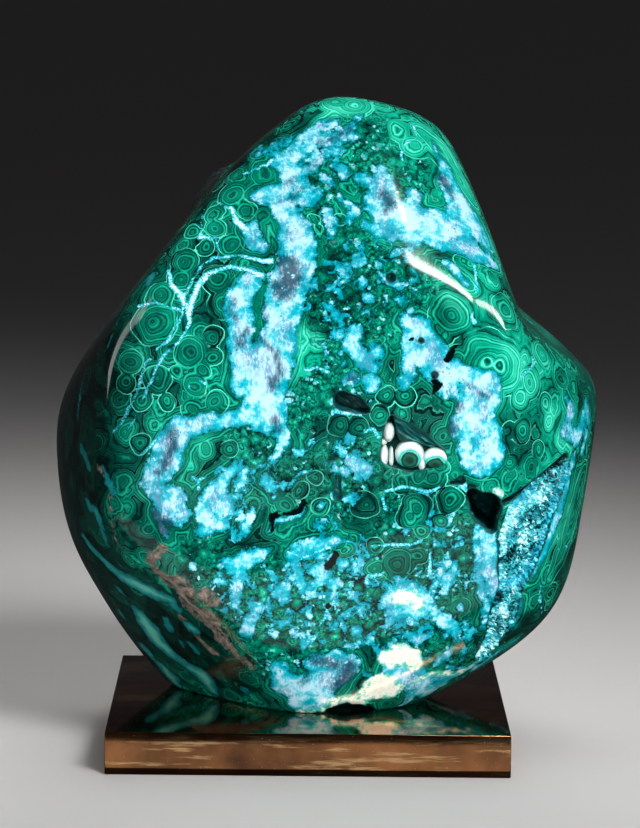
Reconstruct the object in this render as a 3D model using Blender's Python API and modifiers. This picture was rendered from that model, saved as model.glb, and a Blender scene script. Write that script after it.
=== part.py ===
"""A polished chrysocolla and malachite freeform on a square bronze plinth.

The frame is in metres, +Z up. Its origin is the centre of the plinth's underside, and -Y faces the viewer.
The stone is a ground and polished boulder: flat facets with rounded edges, each given by its plane.
Its natural hollows were left unpolished. The trough beside the face is lined by a druse of small crystals,
and the vug in the middle of the face holds white knobs of chrysocolla.
"""
import math

import bmesh
import bpy
import numpy as np
from mathutils import Matrix, Vector, noise
from mathutils.bvhtree import BVHTree

OBJECT_NAME = "chrysocolla_specimen"

# Plinth: a solid square block with a fine bevel round every edge.
PLINTH_SIDE = 0.178
PLINTH_HEIGHT = 0.019
PLINTH_EDGE = 0.0006

# Pieces that touch keep this gap.
SEAT_GAP = 0.0003
FOOT_HEIGHT = PLINTH_HEIGHT + SEAT_GAP

# Stone. Every facet is a plane: its bearing (0 faces the viewer, 90 faces +X), its lift above the horizon,
# both in degrees, and its distance from the stone's heart in metres.
HEART = np.array((0.005, 0.0, 0.150))
FACETS_OF_BOTH_LOBES = {
    "face": (2, 2, 0.073),
    "brow": (-4, 32, 0.087),
    "shoulder": (38, 38, 0.111),
    "cheek": (50, 2, 0.104),
    "lower_cheek": (42, -26, 0.123),
    "lower_face": (10, -17, 0.0855),
    "flank": (-66, 4, 0.1155),
    "lower_flank": (-46, -40, 0.1165),
    "left_side": (-92, -8, 0.1245),
    "lower_left": (-96, -30, 0.1325),
    "left_slope": (-92, 36, 0.1015),
    "upper_left_slope": (-92, 49, 0.1145),
    "top": (98, 80, 0.1455),
    "right_side": (90, -10, 0.1258),
    "lower_right": (92, -57, 0.1382),
    "back": (180, 4, 0.068),
    "upper_back": (178, 38, 0.106),
    "lower_back": (182, -33, 0.098),
    "back_left": (-136, 6, 0.104),
    "back_right": (138, 0, 0.106),
    "lower_back_right": (134, -34, 0.119),
    "heel": (32, -48, 0.131),
    "foot": (0, -90, 0.146),
}
# The crown rises above the saddle, and the nose juts out under it.
FACETS_OF_CROWN = {"crown_right": (95, 56, 0.1512), "right_slope": (92, 20, 0.0987)}
FACETS_OF_NOSE = {"nose_top": (87, 53, 0.0895)}
# The higher the number, the sharper the rounded edges between facets, and the valley between the lobes.
EDGE_SHARPNESS = 17
VALLEY_SHARPNESS = 60
# The grinding left slow waves in the facets: their height, and how many there are in a metre.
WAVE_HEIGHT = 0.0007
WAVES_PER_METRE = 22
# A ledge of raw matrix stands proud of the upper left slope: its middle, its half sizes and its height.
LEDGE_PLACE = (-0.048, 0.012, 0.250)
LEDGE_HALF_SIZES = (0.022, 0.034, 0.018)
LEDGE_HEIGHT = 0.0042

# Natural hollows in the front. Each follows a route of (x, z, half width), sinks to a depth along +Y, and
# has walls that slope inwards over a distance.
HOLLOWS = {
    "trough": (
        (
            (0.1130, 0.1297, 0.0042),
            (0.1059, 0.1218, 0.0088),
            (0.0978, 0.1116, 0.0118),
            (0.0945, 0.1005, 0.0120),
            (0.0920, 0.0890, 0.0100),
            (0.0897, 0.0779, 0.0064),
            (0.0867, 0.0650, 0.0072),
            (0.0825, 0.0529, 0.0044),
            (0.0764, 0.0437, 0.0022),
        ),
        0.0095,
        0.004,
    ),
    "crevice": (
        (
            (0.0853, 0.1179, 0.0020),
            (0.0945, 0.1222, 0.0022),
            (0.1045, 0.1280, 0.0024),
            (0.1140, 0.1345, 0.0022),
        ),
        0.014,
        0.003,
    ),
    "side_vug": (
        ((0.0715, 0.1215, 0.0040), (0.0773, 0.1155, 0.0080), (0.0798, 0.1070, 0.0036)),
        0.026,
        0.004,
    ),
    "side_vug_corner": (((0.0620, 0.1276, 0.0014), (0.0660, 0.1288, 0.0024)), 0.007, 0.0015),
    "middle_vug": (
        (
            (0.0353, 0.1560, 0.0022),
            (0.0345, 0.1490, 0.0042),
            (0.0360, 0.1410, 0.0064),
            (0.0440, 0.1395, 0.0074),
            (0.0555, 0.1388, 0.0044),
        ),
        0.011,
        0.0025,
    ),
    "fibrous_wall": (
        ((0.0370, 0.1545, 0.0032), (0.0480, 0.1480, 0.0036), (0.0575, 0.1420, 0.0022)),
        0.005,
        0.003,
    ),
    "slot": (
        ((0.0135, 0.1640, 0.0046), (0.0200, 0.1618, 0.0042), (0.0240, 0.1598, 0.0022)),
        0.009,
        0.0018,
    ),
    "upper_pit": (((0.0342, 0.2169, 0.0026),), 0.007, 0.0018),
    "right_pit": (((0.0475, 0.1903, 0.0018),), 0.004, 0.0015),
    "cheek_pit": (((0.0537, 0.1754, 0.0021),), 0.004, 0.0016),
    "lower_slot": (((0.0118, 0.1300, 0.0018), (0.0118, 0.1215, 0.0024)), 0.005, 0.0018),
    "foot_arch": (
        ((0.0110, 0.0180, 0.0040), (0.0170, 0.0200, 0.0042), (0.0270, 0.0185, 0.0036)),
        0.014,
        0.0015,
    ),
}
HOLLOW_ROUGHNESS = 0.08
STONE_TRIANGLES = 5400

# Druse: a crust of crystals on the trough's floor. Its route is (x, z, half width), and its mesh has this
# many cells along the route and across it.
DRUSE_ROUTE = HOLLOWS["trough"][0]
DRUSE_CELLS = (46, 9)
DRUSE_WIDTH_SHARE = 0.84
CRYSTALS_SHORT = 0.0017
CRYSTALS_TALL = 0.0042
# The crusts' blanks reach this far into the stone. A copy of the stone is then cut from them, moved towards
# the viewer by the room that they leave.
CRUST_ROOT = 0.0025
ROOM_FOR_CRUSTS = 0.0006

# Knobs in the middle vug: the (x, z) of each, its half sizes in x, y and z, and how far its front stays
# behind the polished face.
KNOBS = {
    "bed": ((0.0440, 0.1400), (0.0150, 0.0050, 0.0080), 0.0050),
    "finger": ((0.0340, 0.1497), (0.0028, 0.0080, 0.0046), 0.0006),
    "column": ((0.0320, 0.1391), (0.0026, 0.0085, 0.0064), 0.0008),
    "thin_column": ((0.0354, 0.1386), (0.0021, 0.0080, 0.0058), 0.0012),
    "big_cap": ((0.0432, 0.1402), (0.0064, 0.0090, 0.0062), 0.0005),
    "small_cap": ((0.0545, 0.1387), (0.0054, 0.0080, 0.0046), 0.0007),
    "drip": ((0.0485, 0.1358), (0.0026, 0.0075, 0.0030), 0.0012),
}
KNOB_SEGMENTS = 14
KNOB_RINGS = 9

# Looks: base colour, roughness and metallic of each piece.
LOOKS = {
    "stone": ((0.012, 0.250, 0.190, 1.0), 0.10, 0.0),
    "druse_crust": ((0.450, 0.780, 0.760, 1.0), 0.55, 0.0),
    "knob_crust": ((0.820, 0.900, 0.880, 1.0), 0.25, 0.0),
    "plinth": ((0.240, 0.125, 0.060, 1.0), 0.12, 1.0),
}


def direction(bearing, lift):
    """The unit vector that a facet faces."""
    turn = math.radians(bearing)
    rise = math.radians(lift)
    return math.sin(turn) * math.cos(rise), -math.cos(turn) * math.cos(rise), math.sin(rise)


def reach(rays, facets):
    """How far the rounded solid that these planes bound reaches along each unit ray from the heart."""
    normals = np.array([direction(bearing, lift) for bearing, lift, _ in facets.values()])
    distances = np.array([distance for _, _, distance in facets.values()])
    nearness = np.maximum(rays @ normals.T, 0) / distances
    return (nearness**EDGE_SHARPNESS).sum(axis=1) ** (-1 / EDGE_SHARPNESS)


def polished_radius(rays):
    """The stone's outer surface, without its waves and its natural hollows."""
    crown = reach(rays, FACETS_OF_BOTH_LOBES | FACETS_OF_CROWN)
    nose = reach(rays, FACETS_OF_BOTH_LOBES | FACETS_OF_NOSE)
    return (crown**VALLEY_SHARPNESS + nose**VALLEY_SHARPNESS) ** (1 / VALLEY_SHARPNESS)


def smooth_step(value):
    """Rises from 0 to 1 as the value does, with level ends."""
    share = np.clip(value, 0, 1)
    return share * share * (3 - 2 * share)


def noise_at(points, per_metre):
    """Smooth noise between about -1 and 1 at each point."""
    return np.array([noise.noise(Vector(point) * per_metre) for point in points])


def gap_to_route(x, z, route):
    """How far each (x, z) lies outside the band along a route. It is negative within the band."""
    gaps = []
    for (x0, z0, half0), (x1, z1, half1) in zip(route, route[1:] or route):
        length_squared = max((x1 - x0) ** 2 + (z1 - z0) ** 2, 1e-12)
        share = np.clip(((x - x0) * (x1 - x0) + (z - z0) * (z1 - z0)) / length_squared, 0, 1)
        away = np.hypot(x - x0 - share * (x1 - x0), z - z0 - share * (z1 - z0))
        gaps.append(away - half0 - share * (half1 - half0))
    return np.min(gaps, axis=0)


def hollow_depth(points):
    """How far the hollows sink each point along +Y."""
    deepest = np.zeros(len(points))
    for route, depth, slope in HOLLOWS.values():
        inside = -gap_to_route(points[:, 0], points[:, 2], route)
        deepest = np.maximum(deepest, depth * smooth_step(inside / slope))
    deepest[points[:, 1] > HEART[1]] = 0
    sunk = deepest > 0
    deepest[sunk] *= 1 + HOLLOW_ROUGHNESS * noise_at(points[sunk], 180)
    return deepest


def stone_points(rays):
    """The stone's surface along each unit ray from its heart."""
    points = HEART + rays * polished_radius(rays)[:, None]
    raised = WAVE_HEIGHT * noise_at(points, WAVES_PER_METRE)
    near_ledge = 1 - np.linalg.norm((points - LEDGE_PLACE) / LEDGE_HALF_SIZES, axis=1)
    on_ledge = near_ledge > 0
    raised[on_ledge] += LEDGE_HEIGHT * smooth_step(near_ledge[on_ledge] * 1.3)
    raised[on_ledge] *= 1 + 0.35 * noise_at(points[on_ledge], 240)
    points += rays * raised[:, None]
    points[:, 1] += hollow_depth(points)
    return points


def material_for(name):
    """The piece's own material."""
    colour, roughness, metallic = LOOKS[name]
    made = bpy.data.materials.new(name)
    made.use_nodes = True
    made.diffuse_color = colour
    shader = made.node_tree.nodes["Principled BSDF"]
    shader.inputs["Base Color"].default_value = colour
    shader.inputs["Roughness"].default_value = roughness
    shader.inputs["Metallic"].default_value = metallic
    return made


def object_from(form, name, collection):
    """A new object with the mesh of a bmesh, which is freed."""
    mesh = bpy.data.meshes.new(name)
    form.to_mesh(mesh)
    form.free()
    made = bpy.data.objects.new(name, mesh)
    collection.objects.link(made)
    return made


def finish(piece):
    """Gives a piece its material and smooth shading with crisp edges."""
    piece.data.materials.clear()
    piece.data.materials.append(material_for(piece.name))
    piece.data.shade_smooth()
    piece.data.set_sharp_from_angle(angle=math.radians(40))


def apply_modifiers(piece):
    """Replaces the piece's mesh by its evaluated mesh."""
    evaluated = piece.evaluated_get(bpy.context.evaluated_depsgraph_get())
    mesh = bpy.data.meshes.new_from_object(evaluated)
    piece.modifiers.clear()
    piece.data = mesh


def keep_largest_body(piece):
    """Removes every loose body but the one with the most faces."""
    form = bmesh.new()
    form.from_mesh(piece.data)
    unseen = set(form.faces)
    bodies = []
    while unseen:
        body = [unseen.pop()]
        for face in body:
            for edge in face.edges:
                for other in edge.link_faces:
                    if other in unseen:
                        unseen.remove(other)
                        body.append(other)
        bodies.append(body)
    bodies.sort(key=len)
    loose = [face for body in bodies[:-1] for face in body]
    bmesh.ops.delete(form, geom=loose, context="FACES")
    form.to_mesh(piece.data)
    form.free()


def boolean(piece, other, operation):
    """Adds an exact Boolean modifier."""
    cut = piece.modifiers.new(operation.lower(), "BOOLEAN")
    cut.operation = operation
    cut.solver = "EXACT"
    cut.object = other


def make_plinth(collection):
    """The bronze block."""
    form = bmesh.new()
    bmesh.ops.create_cube(form, size=1)
    bmesh.ops.scale(form, vec=(PLINTH_SIDE, PLINTH_SIDE, PLINTH_HEIGHT), verts=form.verts)
    bmesh.ops.translate(form, vec=(0, 0, PLINTH_HEIGHT / 2), verts=form.verts)
    plinth = object_from(form, "plinth", collection)
    bevel = plinth.modifiers.new("edges", "BEVEL")
    bevel.width = PLINTH_EDGE
    bevel.segments = 2
    finish(plinth)


def make_stone(collection):
    """The boulder, sawn flat under its foot."""
    form = bmesh.new()
    bmesh.ops.create_icosphere(form, subdivisions=7, radius=1)
    rays = np.array([vertex.co for vertex in form.verts])
    for vertex, point in zip(form.verts, stone_points(rays)):
        vertex.co = point
    everything = form.verts[:] + form.edges[:] + form.faces[:]
    foot = bmesh.ops.bisect_plane(
        form, geom=everything, plane_co=(0, 0, FOOT_HEIGHT), plane_no=(0, 0, -1), clear_outer=True
    )
    rim = [part for part in foot["geom_cut"] if isinstance(part, bmesh.types.BMEdge)]
    bmesh.ops.contextual_create(form, geom=rim)
    bmesh.ops.triangulate(form, faces=form.faces[:])
    stone = object_from(form, "stone", collection)
    thin = stone.modifiers.new("fewer_triangles", "DECIMATE")
    thin.ratio = STONE_TRIANGLES / len(stone.data.polygons)
    apply_modifiers(stone)
    finish(stone)
    return stone


def make_room_for_crusts(stone, cutters):
    """A cutter: the stone moved towards the viewer by the room that the crusts leave in front of it."""
    room = bpy.data.objects.new("room_for_crusts", stone.data.copy())
    room.data.transform(Matrix.Translation((0, -ROOM_FOR_CRUSTS, 0)))
    cutters.objects.link(room)
    room.hide_render = True
    room.display_type = "WIRE"
    return room


def route_place(route, share):
    """The (x, z, half width) at a share of a route's length, and the unit direction (x, z) there."""
    lengths = [math.hypot(b[0] - a[0], b[1] - a[1]) for a, b in zip(route, route[1:])]
    left = share * sum(lengths)
    for start, end, length in zip(route, route[1:], lengths):
        if left <= length or end is route[-1]:
            part = min(left / length, 1)
            place = [a + part * (b - a) for a, b in zip(start, end)]
            return place, ((end[0] - start[0]) / length, (end[1] - start[1]) / length)
        left -= length
    raise ValueError("a route needs two places")


def make_druse(stone, room, collection):
    """The crust of crystals along the trough's floor."""
    surface = BVHTree.FromObject(stone, bpy.context.evaluated_depsgraph_get())
    along, across = DRUSE_CELLS
    form = bmesh.new()
    bmesh.ops.create_grid(form, x_segments=along, y_segments=across, size=0.5)
    for vertex in form.verts:
        side = 2 * vertex.co.y
        (x, z, half), (step_x, step_z) = route_place(DRUSE_ROUTE, vertex.co.x + 0.5)
        x -= step_z * side * half * DRUSE_WIDTH_SHARE
        z += step_x * side * half * DRUSE_WIDTH_SHARE
        floor = surface.ray_cast(Vector((x, -0.2, z)), Vector((0, 1, 0)))[0].y
        growth = noise.cell(Vector((x, 0, z)) * 700)
        tall = CRYSTALS_SHORT + (CRYSTALS_TALL - CRYSTALS_SHORT) * growth * (1 - side**4)
        vertex.co = (x, floor - ROOM_FOR_CRUSTS - tall, z)
    root = bmesh.ops.extrude_face_region(form, geom=form.faces[:])["geom"]
    for vertex in root:
        if isinstance(vertex, bmesh.types.BMVert):
            vertex.co.y += CRYSTALS_TALL + CRUST_ROOT
    bmesh.ops.recalc_face_normals(form, faces=form.faces[:])
    druse = object_from(form, "druse_crust", collection)
    boolean(druse, room, "DIFFERENCE")
    apply_modifiers(druse)
    keep_largest_body(druse)
    finish(druse)


def make_knobs(room, collection, cutters):
    """The white knobs that fill the lower half of the middle vug."""
    knobs = None
    for name, ((x, z), half_sizes, behind) in KNOBS.items():
        form = bmesh.new()
        bmesh.ops.create_uvsphere(form, u_segments=KNOB_SEGMENTS, v_segments=KNOB_RINGS, radius=1)
        bmesh.ops.scale(form, vec=half_sizes, verts=form.verts)
        face_y = HEART[1] - FACETS_OF_BOTH_LOBES["face"][2]
        bmesh.ops.translate(form, vec=(x, face_y + behind + half_sizes[1], z), verts=form.verts)
        if knobs is None:
            knobs = object_from(form, "knob_crust", collection)
            continue
        knob = object_from(form, name, cutters)
        knob.hide_render = True
        knob.display_type = "WIRE"
        boolean(knobs, knob, "UNION")
    boolean(knobs, room, "DIFFERENCE")
    apply_modifiers(knobs)
    keep_largest_body(knobs)
    finish(knobs)


def main():
    """Builds the specimen."""
    for thing in list(bpy.data.objects):
        bpy.data.objects.remove(thing)
    specimen = bpy.data.collections.new(OBJECT_NAME)
    cutters = bpy.data.collections.new("cutters")
    bpy.context.scene.collection.children.link(specimen)
    bpy.context.scene.collection.children.link(cutters)
    make_plinth(specimen)
    stone = make_stone(specimen)
    room = make_room_for_crusts(stone, cutters)
    make_druse(stone, room, specimen)
    make_knobs(room, specimen, cutters)


main()
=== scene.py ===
import math

import bmesh
import bpy
import numpy as np
from mathutils import Matrix, Vector, noise
from mathutils.bvhtree import BVHTree


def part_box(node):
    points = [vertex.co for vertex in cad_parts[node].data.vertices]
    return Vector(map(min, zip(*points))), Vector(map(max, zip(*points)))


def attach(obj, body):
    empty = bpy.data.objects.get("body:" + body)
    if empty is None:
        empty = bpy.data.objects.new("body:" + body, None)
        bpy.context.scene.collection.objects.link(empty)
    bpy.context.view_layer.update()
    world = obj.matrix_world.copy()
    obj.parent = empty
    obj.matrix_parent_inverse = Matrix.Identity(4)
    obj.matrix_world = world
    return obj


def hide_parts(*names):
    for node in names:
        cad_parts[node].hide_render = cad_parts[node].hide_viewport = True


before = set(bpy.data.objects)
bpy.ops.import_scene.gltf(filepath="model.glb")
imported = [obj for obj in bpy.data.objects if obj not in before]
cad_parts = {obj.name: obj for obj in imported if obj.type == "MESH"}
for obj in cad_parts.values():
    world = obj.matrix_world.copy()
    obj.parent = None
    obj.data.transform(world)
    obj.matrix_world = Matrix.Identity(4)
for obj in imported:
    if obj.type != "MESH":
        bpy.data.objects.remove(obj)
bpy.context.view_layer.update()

# Polished chrysocolla and malachite freeform on a square bronze plinth.
# Metres, +Z up, -Y faces the viewer. Marks on the stone are routes of view points: x right and y down in the
# 640 x 828 frame, then the half width in millimetres. Each point is dropped on the stone along its camera ray.

frameSize = (640, 828)
view = {"place": (-0.0056, -1.8051, 0.3836), "pitch": 7.42, "yaw": 0.31, "roll": 0.621, "focal": 4000.0}


def cameraAxes():
    pitch, yaw, roll = (math.radians(view[name]) for name in ("pitch", "yaw", "roll"))
    ahead = Vector((math.sin(yaw) * math.cos(pitch), math.cos(yaw) * math.cos(pitch), -math.sin(pitch)))
    level = Vector((math.cos(yaw), -math.sin(yaw), 0))
    upright = level.cross(ahead)
    right = level * math.cos(roll) + upright * math.sin(roll)
    up = upright * math.cos(roll) - level * math.sin(roll)
    return right, up, ahead


def makeCamera():
    right, up, ahead = cameraAxes()
    lens = bpy.data.cameras.new("camera")
    lens.sensor_width = 36
    lens.lens = view["focal"] / frameSize[1] * lens.sensor_width
    lens.clip_end = 40
    camera = bpy.data.objects.new("camera", lens)
    bpy.context.scene.collection.objects.link(camera)
    turned = Matrix((right, up, -ahead)).transposed().to_4x4()
    camera.matrix_world = Matrix.Translation(view["place"]) @ turned
    bpy.context.scene.camera = camera


def viewRay(x, y):
    right, up, ahead = cameraAxes()
    return (ahead + right * ((x - frameSize[0] / 2) / view["focal"])
            - up * ((y - frameSize[1] / 2) / view["focal"])).normalized()


# The stone has the same planes, waves and hollows as the CAD solid, on a finer mesh.
shape = {
    "heart": (0.005, 0.0, 0.150),
    "edgeSharpness": 17,
    "valleySharpness": 60,
    "waveHeight": 0.0007,
    "wavesPerMetre": 22,
    "ledgePlace": (-0.048, 0.012, 0.250),
    "ledgeHalfSizes": (0.022, 0.034, 0.018),
    "ledgeHeight": 0.0042,
    "hollowRoughness": 0.08,
    "footHeight": 0.0193,
}
facets = {   # bearing (0 faces the viewer, 90 faces +X), lift above level, distance from the heart
    "face": (2, 2, 0.073),
    "brow": (-4, 32, 0.087),
    "shoulder": (38, 38, 0.111),
    "cheek": (50, 2, 0.104),
    "lowerCheek": (42, -26, 0.123),
    "lowerFace": (10, -17, 0.0855),
    "flank": (-66, 4, 0.1155),
    "lowerFlank": (-46, -40, 0.1165),
    "leftSide": (-92, -8, 0.1245),
    "lowerLeft": (-96, -30, 0.1325),
    "leftSlope": (-92, 36, 0.1015),
    "upperLeftSlope": (-92, 49, 0.1145),
    "top": (98, 80, 0.1455),
    "rightSide": (90, -10, 0.1258),
    "lowerRight": (92, -57, 0.1382),
    "back": (180, 4, 0.068),
    "upperBack": (178, 38, 0.106),
    "lowerBack": (182, -33, 0.098),
    "backLeft": (-136, 6, 0.104),
    "backRight": (138, 0, 0.106),
    "lowerBackRight": (134, -34, 0.119),
    "heel": (32, -48, 0.131),
    "foot": (0, -90, 0.146),
}
crownFacets = {"crownRight": (95, 56, 0.1512), "rightSlope": (92, 20, 0.0987)}
noseFacets = {"noseTop": (87, 53, 0.0895)}
hollows = {   # route of (x, z, half width), depth along +Y, how far its walls slope in
    "trough": (((0.1130, 0.1297, 0.0042), (0.1059, 0.1218, 0.0088), (0.0978, 0.1116, 0.0118),
                (0.0945, 0.1005, 0.0120), (0.0920, 0.0890, 0.0100), (0.0897, 0.0779, 0.0064),
                (0.0867, 0.0650, 0.0072), (0.0825, 0.0529, 0.0044), (0.0764, 0.0437, 0.0022)), 0.0095, 0.004),
    "crevice": (((0.0853, 0.1179, 0.0020), (0.0945, 0.1222, 0.0022), (0.1045, 0.1280, 0.0024),
                 (0.1140, 0.1345, 0.0022)), 0.014, 0.003),
    "sideVug": (((0.0715, 0.1215, 0.0040), (0.0773, 0.1155, 0.0080), (0.0798, 0.1070, 0.0036)), 0.026, 0.004),
    "sideVugCorner": (((0.0620, 0.1276, 0.0014), (0.0660, 0.1288, 0.0024)), 0.007, 0.0015),
    "middleVug": (((0.0353, 0.1560, 0.0022), (0.0345, 0.1490, 0.0042), (0.0360, 0.1410, 0.0064),
                   (0.0440, 0.1395, 0.0074), (0.0555, 0.1388, 0.0044)), 0.011, 0.0025),
    "fibrousWall": (((0.0370, 0.1545, 0.0032), (0.0480, 0.1480, 0.0036), (0.0575, 0.1420, 0.0022)), 0.005, 0.003),
    "slot": (((0.0135, 0.1640, 0.0046), (0.0200, 0.1618, 0.0042), (0.0240, 0.1598, 0.0022)), 0.009, 0.0018),
    "upperPit": (((0.0342, 0.2169, 0.0026),), 0.007, 0.0018),
    "rightPit": (((0.0475, 0.1903, 0.0018),), 0.004, 0.0015),
    "cheekPit": (((0.0537, 0.1754, 0.0021),), 0.004, 0.0016),
    "lowerSlot": (((0.0118, 0.1300, 0.0018), (0.0118, 0.1215, 0.0024)), 0.005, 0.0018),
    "footArch": (((0.0110, 0.0180, 0.0040), (0.0170, 0.0200, 0.0042), (0.0270, 0.0185, 0.0036)), 0.014, 0.0015),
}


def reach(rays, planes):
    turns = np.radians([plane[0] for plane in planes.values()])
    lifts = np.radians([plane[1] for plane in planes.values()])
    normals = np.array((np.sin(turns) * np.cos(lifts), -np.cos(turns) * np.cos(lifts), np.sin(lifts)))
    nearness = np.maximum(rays @ normals, 0) / np.array([plane[2] for plane in planes.values()])
    return (nearness ** shape["edgeSharpness"]).sum(axis=1) ** (-1 / shape["edgeSharpness"])


def smoothStep(value):
    share = np.clip(value, 0, 1)
    return share * share * (3 - 2 * share)


def noiseAt(points, perMetre):
    return np.array([noise.noise(Vector(point) * perMetre) for point in points])


def gapToRoute(x, z, route):   # below zero inside the band along the route
    gaps = []
    for (x0, z0, half0), (x1, z1, half1) in zip(route, route[1:] or route):
        squared = max((x1 - x0) ** 2 + (z1 - z0) ** 2, 1e-12)
        share = np.clip(((x - x0) * (x1 - x0) + (z - z0) * (z1 - z0)) / squared, 0, 1)
        away = np.hypot(x - x0 - share * (x1 - x0), z - z0 - share * (z1 - z0))
        gaps.append(away - half0 - share * (half1 - half0))
    return np.min(gaps, axis=0)


def hollowDepth(points):
    deepest = np.zeros(len(points))
    for route, depth, slope in hollows.values():
        inside = -gapToRoute(points[:, 0], points[:, 2], route)
        deepest = np.maximum(deepest, depth * smoothStep(inside / slope))
    deepest[points[:, 1] > shape["heart"][1]] = 0
    sunk = deepest > 0
    deepest[sunk] *= 1 + shape["hollowRoughness"] * noiseAt(points[sunk], 180)
    return deepest


def stonePoints(rays):   # the surface along each ray, and how deep a hollow sinks it there
    crown = reach(rays, facets | crownFacets)
    nose = reach(rays, facets | noseFacets)
    sharp = shape["valleySharpness"]
    radius = (crown ** sharp + nose ** sharp) ** (1 / sharp)
    points = np.array(shape["heart"]) + rays * radius[:, None]
    raised = shape["waveHeight"] * noiseAt(points, shape["wavesPerMetre"])
    near = 1 - np.linalg.norm((points - shape["ledgePlace"]) / shape["ledgeHalfSizes"], axis=1)
    onLedge = near > 0
    raised[onLedge] += shape["ledgeHeight"] * smoothStep(near[onLedge] * 1.3)
    raised[onLedge] *= 1 + 0.35 * noiseAt(points[onLedge], 240)
    points += rays * raised[:, None]
    sunk = hollowDepth(points)
    points[:, 1] += sunk
    return points, sunk


stoneMesh = {"rounds": 7, "fineSide": -0.42, "steepWall": 0.0006, "mostFaces": 196000}


def makeStone():   # an icosphere of rays, with finer faces on the viewer's side, pushed out to the surface
    form = bmesh.new()
    bmesh.ops.create_icosphere(form, subdivisions=stoneMesh["rounds"], radius=1)

    def refine(chosen):
        edges = {edge for face in chosen for edge in face.edges}
        bmesh.ops.subdivide_edges(form, edges=list(edges), cuts=1, use_grid_fill=True)
        bmesh.ops.triangulate(form, faces=[face for face in form.faces if len(face.verts) > 3])
        for vertex in form.verts:
            vertex.co.normalize()

    refine([face for face in form.faces if face.calc_center_median().y < stoneMesh["fineSide"]])
    rays = np.array([vertex.co for vertex in form.verts])
    sunk = stonePoints(rays)[1]
    form.verts.index_update()
    steep = []
    for face in form.faces:
        depths = [sunk[vertex.index] for vertex in face.verts]
        if max(depths) - min(depths) > stoneMesh["steepWall"]:
            steep.append((min(depths) - max(depths), face.index, face))
    steep.sort(key=lambda entry: entry[:2])
    room = (stoneMesh["mostFaces"] - len(form.faces)) // 4
    refine([face for _, _, face in steep[:room]])
    rays = np.array([vertex.co for vertex in form.verts])
    points, sunk = stonePoints(rays)
    for vertex, point in zip(form.verts, points):
        vertex.co = point
    depthLayer = form.verts.layers.float.new("sunk")
    for vertex, depth in zip(form.verts, sunk):
        vertex[depthLayer] = depth * 1000
    everything = form.verts[:] + form.edges[:] + form.faces[:]
    foot = bmesh.ops.bisect_plane(form, geom=everything, plane_co=(0, 0, shape["footHeight"]),
                                  plane_no=(0, 0, -1), clear_outer=True)
    rim = [part for part in foot["geom_cut"] if isinstance(part, bmesh.types.BMEdge)]
    bmesh.ops.contextual_create(form, geom=rim)
    bmesh.ops.triangulate(form, faces=form.faces[:])
    mesh = bpy.data.meshes.new("polishedStone")
    form.to_mesh(mesh)
    form.free()
    mesh.shade_smooth()
    stone = bpy.data.objects.new("polishedStone", mesh)
    bpy.context.scene.collection.objects.link(stone)
    return stone


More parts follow.
